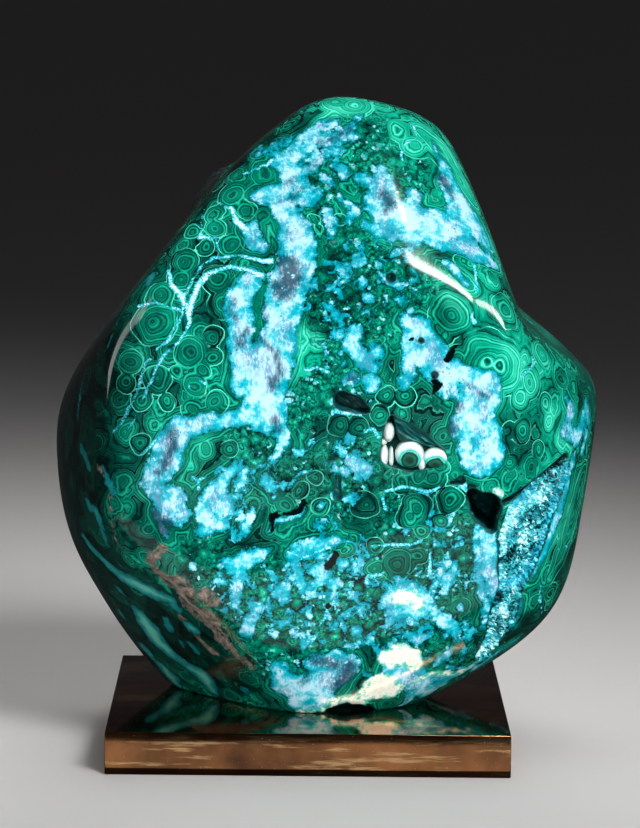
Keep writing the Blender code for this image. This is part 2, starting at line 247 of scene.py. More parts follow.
far = 30.0   # millimetres
marks = {
    # powder-blue and white chrysocolla, edged in turquoise
    "vein": (
        ((352, 128, 2), (338, 138, 4), (318, 143, 3.5), (298, 150, 4), (286, 160, 4.5), (292, 176, 5.5), (300, 190, 5)),
        ((344, 150, 1.5), (322, 158, 2), (306, 172, 3)),
        ((256, 193, 2.5), (266, 196, 5), (280, 192, 5), (292, 186, 3.5), (306, 196, 6), (316, 197, 3)),
        ((283, 205, 5), (288, 216, 6), (294, 228, 7.4), (298, 244, 8.4), (296, 262, 8.6), (288, 284, 9.2),
         (282, 310, 8.4), (280, 336, 7.6), (272, 360, 10), (266, 378, 10.5), (262, 398, 9.5), (268, 416, 8)),
        ((254, 274, 3.6), (244, 290, 5.8), (238, 306, 6.4), (240, 325, 6), (240, 345, 6), (246, 362, 7), (246, 384, 7)),
        ((278, 404, 4.5), (280, 424, 3.5), (284, 442, 3)),
        ((262, 410, 6), (244, 416, 4.6), (222, 421, 4), (198, 425, 4.6), (179, 430, 6), (170, 446, 7),
         (166, 462, 7), (156, 474, 6), (149, 482, 3.8), (160, 492, 4), (171, 502, 7.4), (176, 514, 6)), ((156, 512, 2), (166, 536, 1.6)),
        ((236, 466, 2.5), (224, 480, 3.5), (213, 497, 5.5), (222, 506, 6), (207, 514, 6), (222, 524, 4), (200, 532, 2.5)),
        ((252, 508, 1.5), (248, 522, 2.5), (242, 534, 2)),
        ((246, 470, 2), (240, 486, 2)),
        ((266, 480, 3.2), (273, 489, 2.2)),
        ((285, 440, 1.8), (277, 452, 2), (272, 462, 1.5)),
        ((304, 507, 1), (298, 516, 1.3), (286, 519, 1.2), (274, 520, 1), (267, 532, 0.7)),
        ((274, 498, 0.5), (284, 489, 0.6), (297, 479, 0.6), (309, 470, 0.5), (321, 464, 0.5)),
        ((320, 505, 2.2),),
        ((226, 560, 2), (233, 566, 4), (246, 559, 4.5), (260, 553, 3), (270, 550, 1.5)),
        ((238, 572, 3), (238, 596, 2.6), (233, 607, 2.2)),
        ((292, 556, 3), (304, 550, 4), (320, 545, 4), (336, 541, 2.5)),
        ((296, 563, 2.6), (298, 575, 3), (303, 588, 2.6)),
        ((281, 592, 4.4),), ((283, 600, 2.4),), ((309, 614, 2),), ((334, 583, 3.6),), ((314, 596, 1.6),),
        ((258, 606, 3), (250, 621, 3.4), (245, 634, 2.4)),
        ((279, 668, 4), (284, 684, 7), (300, 690, 8), (318, 686, 8), (338, 674, 7), (352, 664, 4)),
        ((300, 700, 5), (330, 699, 4)),
        ((316, 664, 5), (334, 662, 6), (350, 662, 4)), ((296, 704, 4), (318, 706, 4)),
        ((394, 599, 6.5), (406, 596, 8), (418, 605, 8), (400, 610, 5)), ((390, 612, 2), (406, 618, 1.6), (420, 626, 1.4)),
        ((392, 668, 5), (404, 674, 6.5), (418, 680, 7), (428, 692, 5), (442, 684, 4)),
        ((404, 704, 2.6), (430, 698, 3.2), (454, 676, 2.6), (480, 655, 2)),
        ((396, 578, 1.5), (408, 582, 1)),
        ((432, 610, 2.5), (446, 622, 4.5), (455, 632, 3)),
        ((455, 566, 2), (449, 578, 4), (444, 592, 2)),
        ((437, 580, 1.2), (432, 592, 1.8)),
        ((404, 636, 2), (418, 640, 3), (430, 634, 2)),
        ((440, 660, 3), (452, 650, 2)), ((438, 684, 2.4),), ((461, 606, 2.2),),
        ((380, 172, 3.4), (384, 190, 6), (376, 203, 6), (392, 214, 9), (412, 220, 9.5), (434, 229, 9),
         (456, 241, 7.5), (478, 254, 5), (496, 266, 2.4)),
        ((434, 142, 0.9), (438, 154, 1.8), (444, 166, 3.4), (449, 182, 5.6), (456, 198, 7), (468, 216, 8),
         (480, 234, 6), (490, 250, 3)),
        ((452, 214, 4), (466, 232, 5)), ((408, 190, 2), (416, 198, 3)), ((402, 236, 3), (418, 243, 2.4)),
        ((366, 224, 2.6), (380, 231, 3.6), (394, 236, 3)), ((370, 206, 3), (384, 200, 5), (394, 208, 5)),
        ((420, 214, 4), (440, 220, 5), (458, 230, 4.6), (474, 244, 3)),
        ((446, 262, 1.6), (456, 272, 2.2), (470, 286, 1.2)),
        ((336, 166, 2), (343, 170, 3.2), (344, 178, 2)), ((300, 140, 2.6), (316, 130, 3), (334, 122, 2.4)),
        ((282, 156, 3.6), (276, 164, 3)), ((264, 150, 1.4), (282, 142, 1.6)), ((322, 176, 2), (332, 184, 2.2)),
        ((360, 177, 2.6), (368, 181, 2.6)), ((357, 118, 3),), ((354, 135, 2.8),),
        ((327, 212, 3), (331, 226, 2.6), (330, 238, 1.6)), ((354, 212, 3), (348, 222, 1.8)),
        ((340, 196, 1.6), (350, 206, 1.8)),
        ((406, 320, 3.5), (418, 330, 6.5), (422, 344, 7), (436, 362, 7.5), (452, 380, 8), (470, 384, 8),
         (488, 382, 6), (492, 402, 4.5), (478, 404, 9), (470, 424, 9), (486, 436, 8), (492, 456, 6.5),
         (478, 464, 6), (470, 450, 6)),
        ((408, 344, 3.4), (410, 376, 3), (404, 382, 3)),
        ((371, 383, 4.2),), ((352, 378, 3.6), (346, 379, 2.6)), ((378, 352, 3.4), (366, 360, 2.6)),
        ((368, 298, 2.6),), ((340, 266, 1.6), (344, 276, 1.6)), ((336, 312, 1.8), (340, 324, 1.5)),
        ((356, 330, 3), (352, 346, 4), (362, 362, 4), (376, 366, 2.6)),
        ((354, 462, 4), (366, 470, 3.4)),
        ((345, 500, 1.2), (352, 499, 2), (362, 495, 0.8)),
        ((476, 512, 2.4), (478, 528, 2), (476, 545, 1.6), (478, 562, 1.8), (480, 584, 2.2), (486, 606, 2),
         (484, 626, 1.6)),
        ((250, 228, 3.5), (254, 240, 4.5), (262, 246, 3)),
        ((566, 398, 2), (572, 410, 3), (566, 430, 4.5), (576, 438, 4), (582, 424, 3), (586, 404, 1.5)),
        ((486, 640, 1.6), (474, 668, 2), (456, 688, 1.4)),
        ((482, 514, 2.4), (486, 532, 4), (490, 550, 5), (490, 568, 5), (494, 586, 4.6), (494, 602, 2)),
        ((574, 456, 1.8), (567, 486, 2), (556, 520, 2.4), (542, 552, 2.6), (528, 576, 2.8), (512, 584, 3), (498, 586, 3)),
        ((520, 600, 1.6), (516, 616, 1.8), (506, 632, 1.4)),
        ((459, 680, 1.4), (476, 668, 1.6), (498, 652, 1.4), (519, 637, 0.8)),
        ((586, 404, 2.4), (588, 424, 2.4), (584, 444, 2.2), (580, 456, 1.6)),
    ),
    # thin turquoise ribbons
    "ribbon": (
        ((270, 262, 1.4), (254, 258, 1), (240, 256, 0.7), (226, 257, 0.6), (213, 258, 0.6), (203, 266, 0.6),
         (195, 277, 0.6), (187, 290, 0.6), (183, 302, 0.7), (182, 318, 0.6), (174, 330, 0.6), (166, 341, 0.6),
         (156, 351, 0.6), (146, 364, 0.6), (140, 384, 0.6), (132, 404, 0.6), (121, 423, 0.6), (113, 432, 0.5)),
        ((262, 276, 1.4), (246, 270, 0.9), (230, 267, 0.9), (217, 269, 1), (206, 276, 1.2), (198, 286, 1.4),
         (193, 298, 1.5), (190, 312, 1.4), (189, 322, 0.8), (180, 339, 0.6), (166, 353, 0.6), (155, 368, 0.6),
         (147, 388, 0.6), (139, 410, 0.6), (127, 428, 0.5)),
        ((213, 200, 0.6), (224, 205, 0.9), (232, 210, 1.3), (234, 222, 1.4), (246, 228, 1.5)),
        ((203, 210, 0.7), (204, 224, 0.7), (198, 238, 1.1), (210, 240, 0.9), (217, 238, 0.6), (220, 250, 0.6)),
        ((167, 271, 0.6), (172, 284, 1.1), (180, 296, 1.3), (188, 306, 1.2)),
        ((140, 304, 0.8), (156, 303, 0.5), (168, 306, 0.6), (180, 310, 0.8)),
        ((226, 178, 0.5), (246, 152, 0.6), (268, 132, 0.7), (290, 118, 0.6)), ((252, 158, 0.5), (280, 138, 0.6)),
        ((228, 179, 0.6), (244, 174, 0.9), (258, 169, 1), (274, 160, 1.2)),
        ((190, 387, 0.5), (197, 379, 0.6), (205, 384, 0.6)),
        ((162, 438, 0.4), (152, 446, 0.7), (141, 455, 0.7)), ((148, 450, 0.5), (156, 462, 0.5)),
        ((190, 476, 0.5), (198, 480, 0.6), (206, 478, 0.5)), ((198, 480, 0.5), (199, 489, 0.4)),
        ((410, 114, 0.6), (414, 128, 0.9), (418, 138, 0.8), (406, 144, 0.7), (400, 158, 0.9), (404, 174, 0.6)),
        ((474, 265, 0.6), (478, 282, 0.7), (470, 318, 0.6), (474, 322, 1.2)),
        ((531, 342, 0.5), (532, 366, 0.6), (520, 378, 0.5)),
        ((385, 492, 0.6), (396, 488, 0.8), (408, 486, 0.8), (420, 489, 0.7), (432, 492, 0.8), (440, 486, 0.7),
         (452, 484, 0.8), (464, 486, 0.9), (468, 500, 1)),
        ((386, 508, 0.5), (384, 498, 0.6)),
        ((300, 560, 0.3), (318, 551, 0.6)), ((318, 552, 0.5), (330, 548, 0.6)),
        ((324, 604, 0.6), (328, 612, 0.6), (322, 624, 0.5), (314, 638, 0.6), (306, 641, 0.6)),
        ((328, 622, 0.6), (334, 630, 0.5)), ((334, 604, 0.6), (338, 614, 0.6)),
        ((352, 574, 0.5), (360, 578, 0.7), (372, 576, 0.7), (382, 572, 0.6)),
        ((430, 552, 0.8), (430, 562, 0.7), (430, 572, 1.1)),
        ((372, 546, 0.6), (390, 545, 0.7), (410, 544, 0.7), (422, 540, 0.6)),
        ((372, 400, 0.5), (369, 410, 0.7), (362, 416, 0.7), (350, 415, 0.8), (336, 410, 0.8)),
        ((340, 389, 0.5), (334, 400, 0.7), (333, 412, 0.7)),
        ((364, 430, 0.6), (374, 428, 0.6), (380, 436, 0.8)),
        ((558, 548, 0.5), (566, 546, 0.8), (568, 556, 0.5)), ((541, 586, 0.6), (540, 600, 0.9), (542, 614, 0.4)),
        ((304, 370, 0.7), (316, 368, 0.8), (327, 370, 0.8)),
    ),
    # malachite orbs: the outer edge of each, ringed inside
    "orb": (
        ((215, 229, 5),), ((215, 213, 4.6),), ((192, 231, 4.2),), ((232, 245, 5.6),), ((206, 248, 4.2),),
        ((198, 247, 1.6),), ((184, 262, 7),), ((180, 278, 6.4),), ((160, 296, 6.6),), ((218, 280, 7.6),),
        ((222, 304, 6.8),), ((154, 322, 10.6),), ((191, 352, 7.6),), ((130, 362, 6),), ((157, 380, 6.4),),
        ((195, 386, 5),), ((213, 356, 4.4),), ((213, 336, 4.6),), ((126, 384, 4.6),), ((142, 400, 5),),
        ((232, 194, 7),), ((246, 210, 5),), ((218, 186, 4),), ((229, 449, 4),), ((207, 449, 3.4),), ((140, 444, 4.6),),
        ((192, 410, 5),), ((216, 402, 5.4),), ((166, 402, 4),), ((204, 370, 3.4),), ((176, 372, 3),),
        ((488, 360, 14.2),), ((499, 366, 14.2),), ((451, 315, 10),), ((506, 311, 8.6),), ((435, 323, 4),),
        ((444, 336, 4.4),), ((458, 356, 5.6),), ((541, 354, 7),), ((560, 353, 4),), ((521, 398, 6.4),),
        ((530, 382, 8),), ((509, 431, 4.6),), ((522, 431, 6.4),), ((549, 421, 4.6),), ((538, 449, 4.4),),
        ((510, 462, 4.6),), ((545, 402, 5),), ((551, 592, 4.6),), ((549, 605, 3.2),),
        ((314, 219, 2.8),), ((318, 228, 2.2),), ((320, 240, 3.4),), ((320, 252, 3.2),), ((340, 220, 3.2),),
        ((338, 424, 5.2),), ((358, 427, 4.6),), ((380, 414, 4.2),), ((406, 397, 4.8),), ((387, 397, 4.6),),
        ((359, 386, 2.8),), ((406, 470, 4.6),), ((434, 480, 5.6),), ((420, 476, 5),), ((402, 484, 5),),
        ((438, 466, 5),), ((365, 505, 6.4),), ((417, 508, 7),), ((408, 516, 6),), ((450, 500, 6.4),),
        ((398, 564, 8),), ((418, 556, 4.4),), ((374, 569, 4.4),), ((320, 506, 4.4),), ((301, 491, 3.6),),
        ((315, 478, 3.8),), ((286, 506, 6),), ((422, 530, 4),), ((440, 520, 4),), ((340, 410, 3),),
        ((345, 550, 4.6),), ((375, 545, 4),), ((415, 145, 8),), ((400, 130, 7),),
        ((436, 112, 8), (452, 132, 9), (468, 160, 9), (482, 195, 8)), ((354, 106, 9),), ((334, 102, 7),), ((470, 264, 4.4),), ((463, 262, 4),),
        ((584, 470, 5), (577, 500, 6), (569, 530, 6.5), (560, 556, 6), (550, 578, 3.4)),
    ),
    # fibrous grey-navy clouds inside the white
    "smudge": (
        ((276, 262, 3), (290, 262, 4), (292, 278, 5), (284, 292, 4.5), (276, 286, 3)),
        ((290, 184, 1.6), (296, 178, 1.4)), ((290, 200, 1.4), (302, 188, 1.4)),
        ((350, 130, 2), (336, 138, 2.4), (320, 143, 2)), ((322, 158, 1.2), (308, 170, 1.4)),
        ((233, 300, 1.4), (230, 312, 1.6), (236, 322, 1)), ((246, 330, 1.6), (240, 344, 2)),
        ((262, 340, 2), (276, 352, 1.6), (280, 372, 2.4), (272, 388, 2)),
        ((262, 300, 1.2), (266, 322, 1)),
        ((172, 432, 2.4), (174, 446, 3), (168, 460, 2.8), (158, 472, 2)), ((154, 520, 5), (164, 527, 5)),
        ((276, 420, 2.6), (280, 430, 2)),
        ((385, 194, 3), (390, 204, 4), (384, 212, 2)), ((436, 172, 2.6), (444, 180, 3.2), (452, 196, 2)),
        ((308, 676, 1.6), (300, 684, 2)), ((350, 668, 4), (342, 686, 4.4)), ((316, 660, 3), (334, 664, 3)),
        ((352, 378, 2.6),), ((456, 406, 3.2),), ((442, 418, 4), (452, 428, 4)), ((466, 386, 1.2), (488, 396, 1.4)),
    ),
    # pinholes and dark specks in the white
    "specks": (
        ((478, 545, 4), (480, 580, 4)), ((300, 190, 3),), ((410, 600, 3),), ((236, 350, 4),), ((176, 440, 5),),
        ((248, 226, 4), (256, 238, 5), (262, 246, 4)), ((210, 272, 3), (194, 290, 4), (189, 318, 4)),
        ((446, 380, 6), (460, 386, 6), (470, 396, 6)), ((480, 440, 5),), ((440, 240, 3), (462, 232, 4)),
        ((285, 300, 4), (285, 330, 4), (284, 350, 4)), ((570, 430, 5),), ((294, 228, 4),),
        ((420, 500, 5),), ((240, 500, 4), (220, 510, 5)), ((268, 425, 4),),
    ),
    # pale cream nodules, and a painted highlight along the pale strip at the bottom
    "creamAndHighlight": (
        ((368, 693, 4.6), (380, 686, 7), (392, 690, 5.4)), ((388, 658, 4.6), (398, 655, 5.6), (410, 657, 4.6), (417, 665, 3.4)),
        ((334, 704, 2.6), (348, 700, 3.6), (362, 702, 3)), ((300, 711, 1.6), (324, 709, 1.6)),
        # painted highlight along the pale strip at the bottom
        ((420, 704, 1.2), (440, 692, 1.8), (462, 672, 1.6), (490, 649, 1)),
        ((400, 598, 4), (410, 596, 4), (418, 606, 3)), ((488, 496, 1.4), (498, 492, 2)),
    ),
    # grey-brown matrix
    "brown": (
        ((162, 549, 2.6), (151, 558, 2.8), (155, 570, 2.4), (166, 580, 3.4), (180, 582, 3.4), (186, 592, 4.4),
         (188, 604, 5), (200, 614, 5.6), (212, 624, 4.4), (222, 640, 3.2), (236, 654, 2.4), (252, 668, 1.8)),
        ((204, 594, 3.4), (214, 602, 3)), ((180, 616, 2), (186, 622, 2.4), (200, 640, 2), (214, 652, 2.6)),
        ((99, 466, 0.6), (110, 490, 0.7), (112, 520, 0.8), (118, 545, 1)),
    ),
    # teal-blue lenses on the shaded flank
    "lens": (
        ((83, 536, 2.6), (94, 550, 3), (108, 565, 3.6), (124, 578, 5), (140, 586, 6.4), (156, 594, 5.6),
         (170, 600, 4), (178, 610, 3)),
        ((80, 444, 2), (84, 456, 2.8), (90, 470, 1.8)), ((82, 384, 1.4), (79, 404, 2), (78, 420, 1.2)),
        ((86, 500, 2), (96, 512, 3.2), (102, 528, 2.4), (108, 546, 1.2)), ((103, 466, 1), (108, 482, 2.4), (114, 492, 1.4)),
        ((116, 586, 1.4), (126, 598, 1)), ((120, 612, 2), (124, 618, 2)),
        ((138, 612, 4.4), (148, 626, 7.4), (158, 642, 7), (172, 654, 5), (184, 662, 3.4)),
        ((166, 618, 2), (170, 630, 2.6)), ((146, 650, 5), (152, 657, 3.6)),
        ((162, 666, 5), (170, 676, 7), (176, 684, 5)), ((190, 668, 5), (203, 676, 7), (212, 690, 5)),
        ((180, 640, 1.8), (184, 646, 1.8)), ((190, 643, 2), (196, 652, 2)), ((191, 628, 4.8),), ((245, 690, 3),),
        ((112, 336, 1), (108, 346, 1.2)), ((120, 316, 0.9), (116, 326, 0.8)), ((151, 276, 3), (148, 284, 2.4)),
        ((308, 108, 1.6), (302, 113, 1)), ((318, 106, 1.6),),
    ),
}
# black specks, and painted shade in the pits and the slot
marks["blackSpecksAndPaintedShade"] = (((432, 376, 1.6), (437, 384, 2.2), (433, 392, 1)), ((452, 350, 1.4), (449, 358, 1.8), (455, 346, 0.8)),
                  ((391, 276, 2.8),), ((336, 478, 2.4), (338, 492, 3)), ((412, 340, 1),),
                  ((329, 566, 1.4), (335, 554, 1.6)), ((328, 607, 1.4),), ((356, 580, 1), (366, 576, 1)),
                  ((270, 532, 0.8), (271, 517, 0.9), (286, 514, 0.9), (300, 511, 0.9), (305, 502, 1)),
                  ((339, 399, 4.4), (352, 404, 4), (363, 409, 2.2)), ((400, 466, 1.6),), ((326, 360, 0.6),))
clouds = {   # wide soft areas: view point, radius in millimetres
    "islands": ((340, 280, 22), (400, 290, 14), (345, 340, 16), (350, 460, 14), (430, 525, 20), (330, 560, 24),
                (390, 620, 30), (300, 600, 26), (250, 590, 20), (330, 640, 26), (460, 560, 16), (250, 480, 18),
                (310, 450, 8), (320, 150, 16), (390, 250, 12), (270, 150, 12), (440, 640, 22), (230, 520, 12)),
    "mottle": ((202, 562, 12), (216, 594, 9), (330, 270, 26), (330, 390, 14), (400, 280, 16), (300, 410, 10), (360, 330, 14), (350, 480, 18),
               (420, 520, 20), (300, 480, 14), (250, 450, 12), (400, 590, 26), (330, 600, 28), (260, 600, 22),
               (390, 170, 18), (360, 130, 14), (310, 190, 12), (450, 560, 20), (430, 650, 24), (300, 650, 24)),
    # painted light, with some paler malachite: lifts the tones where the crown and nose face the key light
    "paintedLightAndPaleTone": ((430, 110, 26), (460, 150, 28), (480, 200, 22), (500, 260, 18), (400, 150, 22), (350, 105, 18),
               (520, 360, 24), (560, 430, 16), (530, 320, 16), (560, 520, 18), (470, 290, 14), (380, 230, 10), (318, 372, 13), (306, 344, 9)),
    # deep: darker malachite patches, and painted shade on the right edge that turns away from the key light
    "deep": ((150, 536, 10), (196, 562, 11), (214, 600, 8), (330, 290, 20), (410, 475, 14), (300, 480, 14), (345, 425, 14), (400, 555, 12), (370, 500, 12),
             (470, 550, 14), (250, 530, 12), (470, 620, 14), (568, 515, 12), (562, 555, 13), (552, 600, 13), (535, 625, 9)),
    # painted shade: darkens the flank and the edges that turn away from the key light
    "shade": ((90, 380, 34), (80, 470, 36), (90, 560, 34), (120, 620, 36), (160, 680, 34), (60, 430, 40),
              (206, 186, 7), (232, 158, 7), (262, 128, 6), (556, 652, 6),
              (524, 664, 6)),
}


def makeMarks(stone):   # writes how far inside each mark every vertex lies, in millimetres
    mesh = stone.data
    form = bmesh.new()
    form.from_mesh(mesh)
    tree = BVHTree.FromBMesh(form)
    form.free()

    def drop(x, y):
        place = tree.ray_cast(Vector(view["place"]), viewRay(x, y))[0]
        if place is None:
            place = tree.find_nearest(Vector(view["place"]) + viewRay(x, y) * 1.79)[0]
        return np.array(place) * 1000

    points = np.zeros(len(mesh.vertices) * 3)
    mesh.vertices.foreach_get("co", points)
    level = points.reshape(-1, 3) * 1000
    depths = np.zeros(len(level))
    mesh.attributes["sunk"].data.foreach_get("value", depths)
    level[:, 1] -= depths
    level += 1.3 * np.array([noise.noise_vector(Vector(point) * 0.16) for point in level])
    for name, routes in marks.items():
        inside = np.full(len(level), -far)
        for route in routes:
            stops = [(drop(x, y), half) for x, y, half in route]
            for (start, half0), (end, half1) in zip(stops, stops[1:] or stops):
                along = end - start
                share = np.clip((level - start) @ along / max(along @ along, 1e-9), 0, 1)
                gap = np.linalg.norm(level - start - share[:, None] * along, axis=1)
                inside = np.maximum(inside, half0 + (half1 - half0) * share - gap)
        writeLayer(mesh, name, inside)
    normals = np.zeros(len(mesh.vertices) * 3)
    mesh.vertex_normals.foreach_get("vector", normals)
    away = np.array(view["place"]) - points.reshape(-1, 3)
    facing = (normals.reshape(-1, 3) * away).sum(axis=1) / np.linalg.norm(away, axis=1)
    writeLayer(mesh, "unseen", smoothStep(0.6 - facing * 5))
    for name, blobs in clouds.items():
        amount = np.zeros(len(level))
        for x, y, radius in blobs:
            gap = np.linalg.norm(level - drop(x, y), axis=1)
            amount = np.maximum(amount, smoothStep(1.5 - gap / radius))
        writeLayer(mesh, name, amount)


def writeLayer(mesh, name, values):
    layer = mesh.attributes.new(name, "FLOAT", "POINT")
    layer.data.foreach_set("value", values.astype(np.float32))


# Short ways to wire up materials.
def plug(tree, socket, value):
    if isinstance(value, bpy.types.NodeSocket):
        tree.links.new(value, socket)
    else:
        socket.default_value = value


def addNode(tree, kind, inputs=None, **settings):
    made = tree.nodes.new(kind)
    for name, value in settings.items():
        setattr(made, name, value)
    for name, value in (inputs or {}).items():
        plug(tree, made.inputs[name], value)
    return made


def maths(tree, operation, *values):
    return addNode(tree, "ShaderNodeMath", dict(enumerate(values)), operation=operation).outputs[0]


def between(tree, value, low, high):   # 0 at low, 1 at high, with level ends
    return addNode(tree, "ShaderNodeMapRange", {0: value, 1: low, 2: high, 3: 0.0, 4: 1.0},
                   interpolation_type="SMOOTHSTEP").outputs[0]


def vectorMaths(tree, operation, *values):
    return addNode(tree, "ShaderNodeVectorMath", dict(enumerate(values)), operation=operation).outputs[0]


def noiseOf(tree, place, scale, detail=3.0, rough=0.5, output=0):
    return addNode(tree, "ShaderNodeTexNoise", {"Vector": place, "Scale": scale, "Detail": detail,
                                               "Roughness": rough}).outputs[output]


def cellsOf(tree, place, scale, output="Distance", **settings):
    return addNode(tree, "ShaderNodeTexVoronoi", {"Vector": place, "Scale": scale}, **settings).outputs[output]


def blend(tree, amount, below, above, kind="MIX"):
    return addNode(tree, "ShaderNodeMix", {0: amount, 6: below, 7: above}, data_type="RGBA",
                   blend_type=kind).outputs[2]


def blendValue(tree, amount, below, above):
    return addNode(tree, "ShaderNodeMix", {0: amount, 2: below, 3: above}, data_type="FLOAT").outputs[0]


def rgb(colour):   # screen values of 0 to 255 made linear
    shares = [part / 255 for part in colour]
    return tuple(share / 12.92 if share < 0.04 else ((share + 0.055) / 1.055) ** 2.4 for share in shares) + (1.0,)


def rampOf(tree, value, stops):
    made = addNode(tree, "ShaderNodeValToRGB", {0: value})
    elements = made.color_ramp.elements
    while len(elements) < len(stops):
        elements.new(0.5)
    for element, (position, colour) in zip(elements, stops):
        element.position = position
        element.color = rgb(colour)
    return made.outputs[0]


def attribute(tree, name):
    return addNode(tree, "ShaderNodeAttribute", attribute_name=name).outputs["Fac"]


def newMaterial(name):
    made = bpy.data.materials.new(name)
    made.use_nodes = True
    tree = made.node_tree
    place = addNode(tree, "ShaderNodeTexCoord").outputs["Object"]
    return made, tree, tree.nodes["Principled BSDF"], vectorMaths(tree, "MULTIPLY", place, (1000.0,) * 3)


def newGroup(name, inputs, outputs):
    tree = bpy.data.node_groups.new(name, "ShaderNodeTree")
    for label, kind in inputs:
        tree.interface.new_socket(label, in_out="INPUT", socket_type="NodeSocket" + kind)
    for label, kind in outputs:
        tree.interface.new_socket(label, in_out="OUTPUT", socket_type="NodeSocket" + kind)
    return tree, tree.nodes.new("NodeGroupInput").outputs, tree.nodes.new("NodeGroupOutput").inputs


def useGroup(tree, name, inputs):
    return addNode(tree, "ShaderNodeGroup", inputs, node_tree=bpy.data.node_groups[name]).outputs


malachite = {
    "dark": (0, 32, 29), "deep": (0, 70, 58), "mid": (0, 110, 88), "clear": (6, 162, 130),
    "mint": (82, 220, 192), "bandsPerMillimetre": 0.68,
}
chrysocolla = {
    "rim": (0, 112, 128), "turquoise": (0, 138, 154), "sky": (18, 164, 180), "powder": (88, 186, 202),
    "white": (164, 206, 223), "grey": (72, 114, 144), "navy": (22, 44, 66),
}


def makeBandGroup():   # malachite rings: the depth inside an orb, in millimetres, gives the band's colour
    tree, given, out = newGroup("malachiteBands", (("Depth", "Float"), ("Place", "Vector"), ("Bright", "Float"),
                                                   ("Fineness", "Float")), (("Color", "Color"), ("Line", "Float")))
    drift = maths(tree, "MULTIPLY", noiseOf(tree, given["Place"], 0.03, 2.0), 12.0)
    along = maths(tree, "MULTIPLY_ADD", given["Depth"], given["Fineness"], drift)
    band = addNode(tree, "ShaderNodeTexNoise", {"W": along, "Scale": 1.0, "Detail": 2.0, "Roughness": 0.58},
                   noise_dimensions="1D").outputs[0]
    wide = addNode(tree, "ShaderNodeTexNoise", {"W": maths(tree, "ADD", along, 90.0), "Scale": 0.3, "Detail": 0.0},
                   noise_dimensions="1D").outputs[0]
    tone = noiseOf(tree, given["Place"], 0.06, 3.0, 0.6)
    # painted light and paler tone: the bands are lifted under those clouds
    lift = maths(tree, "MULTIPLY_ADD", given["Bright"], 0.16, -0.05)
    shade = maths(tree, "MULTIPLY_ADD", tone, 0.36, maths(tree, "SUBTRACT", lift, 0.225))
    shade = maths(tree, "MULTIPLY_ADD", wide, 0.26, shade)
    shade = maths(tree, "MULTIPLY_ADD", band, 0.78, shade)
    colour = rampOf(tree, shade, ((0.26, malachite["dark"]), (0.40, malachite["deep"]), (0.50, malachite["mid"]),
                                  (0.62, malachite["clear"]), (0.80, malachite["mint"])))
    fine = addNode(tree, "ShaderNodeTexNoise", {"W": maths(tree, "ADD", along, 40.0), "Scale": 1.3, "Detail": 1.0},
                   noise_dimensions="1D").outputs[0]
    away = maths(tree, "ABSOLUTE", maths(tree, "SUBTRACT", fine, 0.56))
    plug(tree, out["Color"], colour)
    plug(tree, out["Line"], between(tree, away, 0.022, 0.006))


def makeGranuleGroup():   # small beads packed together: ringed green ones, plain ones and pale blue ones
    tree, given, out = newGroup("granules", (("Place", "Vector"), ("Scale", "Float")),
                                (("Color", "Color"), ("Pale", "Float")))
    swirl = vectorMaths(tree, "SUBTRACT", noiseOf(tree, given["Place"], 0.30, 3.0, 0.6, "Color"), (0.5,) * 3)
    bent = vectorMaths(tree, "ADD", given["Place"], vectorMaths(tree, "MULTIPLY", swirl, (4.0,) * 3))
    cells = addNode(tree, "ShaderNodeTexVoronoi", {"Vector": bent, "Scale": given["Scale"]})
    jitter = maths(tree, "SUBTRACT", noiseOf(tree, given["Place"], 1.0, 4.0, 0.65), 0.5)
    radius = maths(tree, "MULTIPLY_ADD", jitter, 0.55, cells.outputs["Distance"])
    parts = addNode(tree, "ShaderNodeSeparateColor", {0: cells.outputs["Color"]})
    ringed = rampOf(tree, radius, ((0.06, malachite["clear"]), (0.18, malachite["mid"]), (0.32, malachite["dark"]),
                                   (0.38, malachite["clear"]), (0.48, malachite["mid"]), (0.70, malachite["deep"])))
    plain = rampOf(tree, maths(tree, "MULTIPLY_ADD", parts.outputs[1], 0.35, radius),
                   ((0.12, malachite["mint"]), (0.30, malachite["clear"]), (0.56, malachite["mid"]),
                    (0.74, malachite["deep"]), (0.90, malachite["dark"])))
    plug(tree, out["Color"], blend(tree, between(tree, parts.outputs[0], 0.42, 0.46), ringed, plain))
    small = between(tree, radius, 0.46, 0.36)
    plug(tree, out["Pale"], maths(tree, "MULTIPLY", small, between(tree, parts.outputs[2], 0.85, 0.88)))


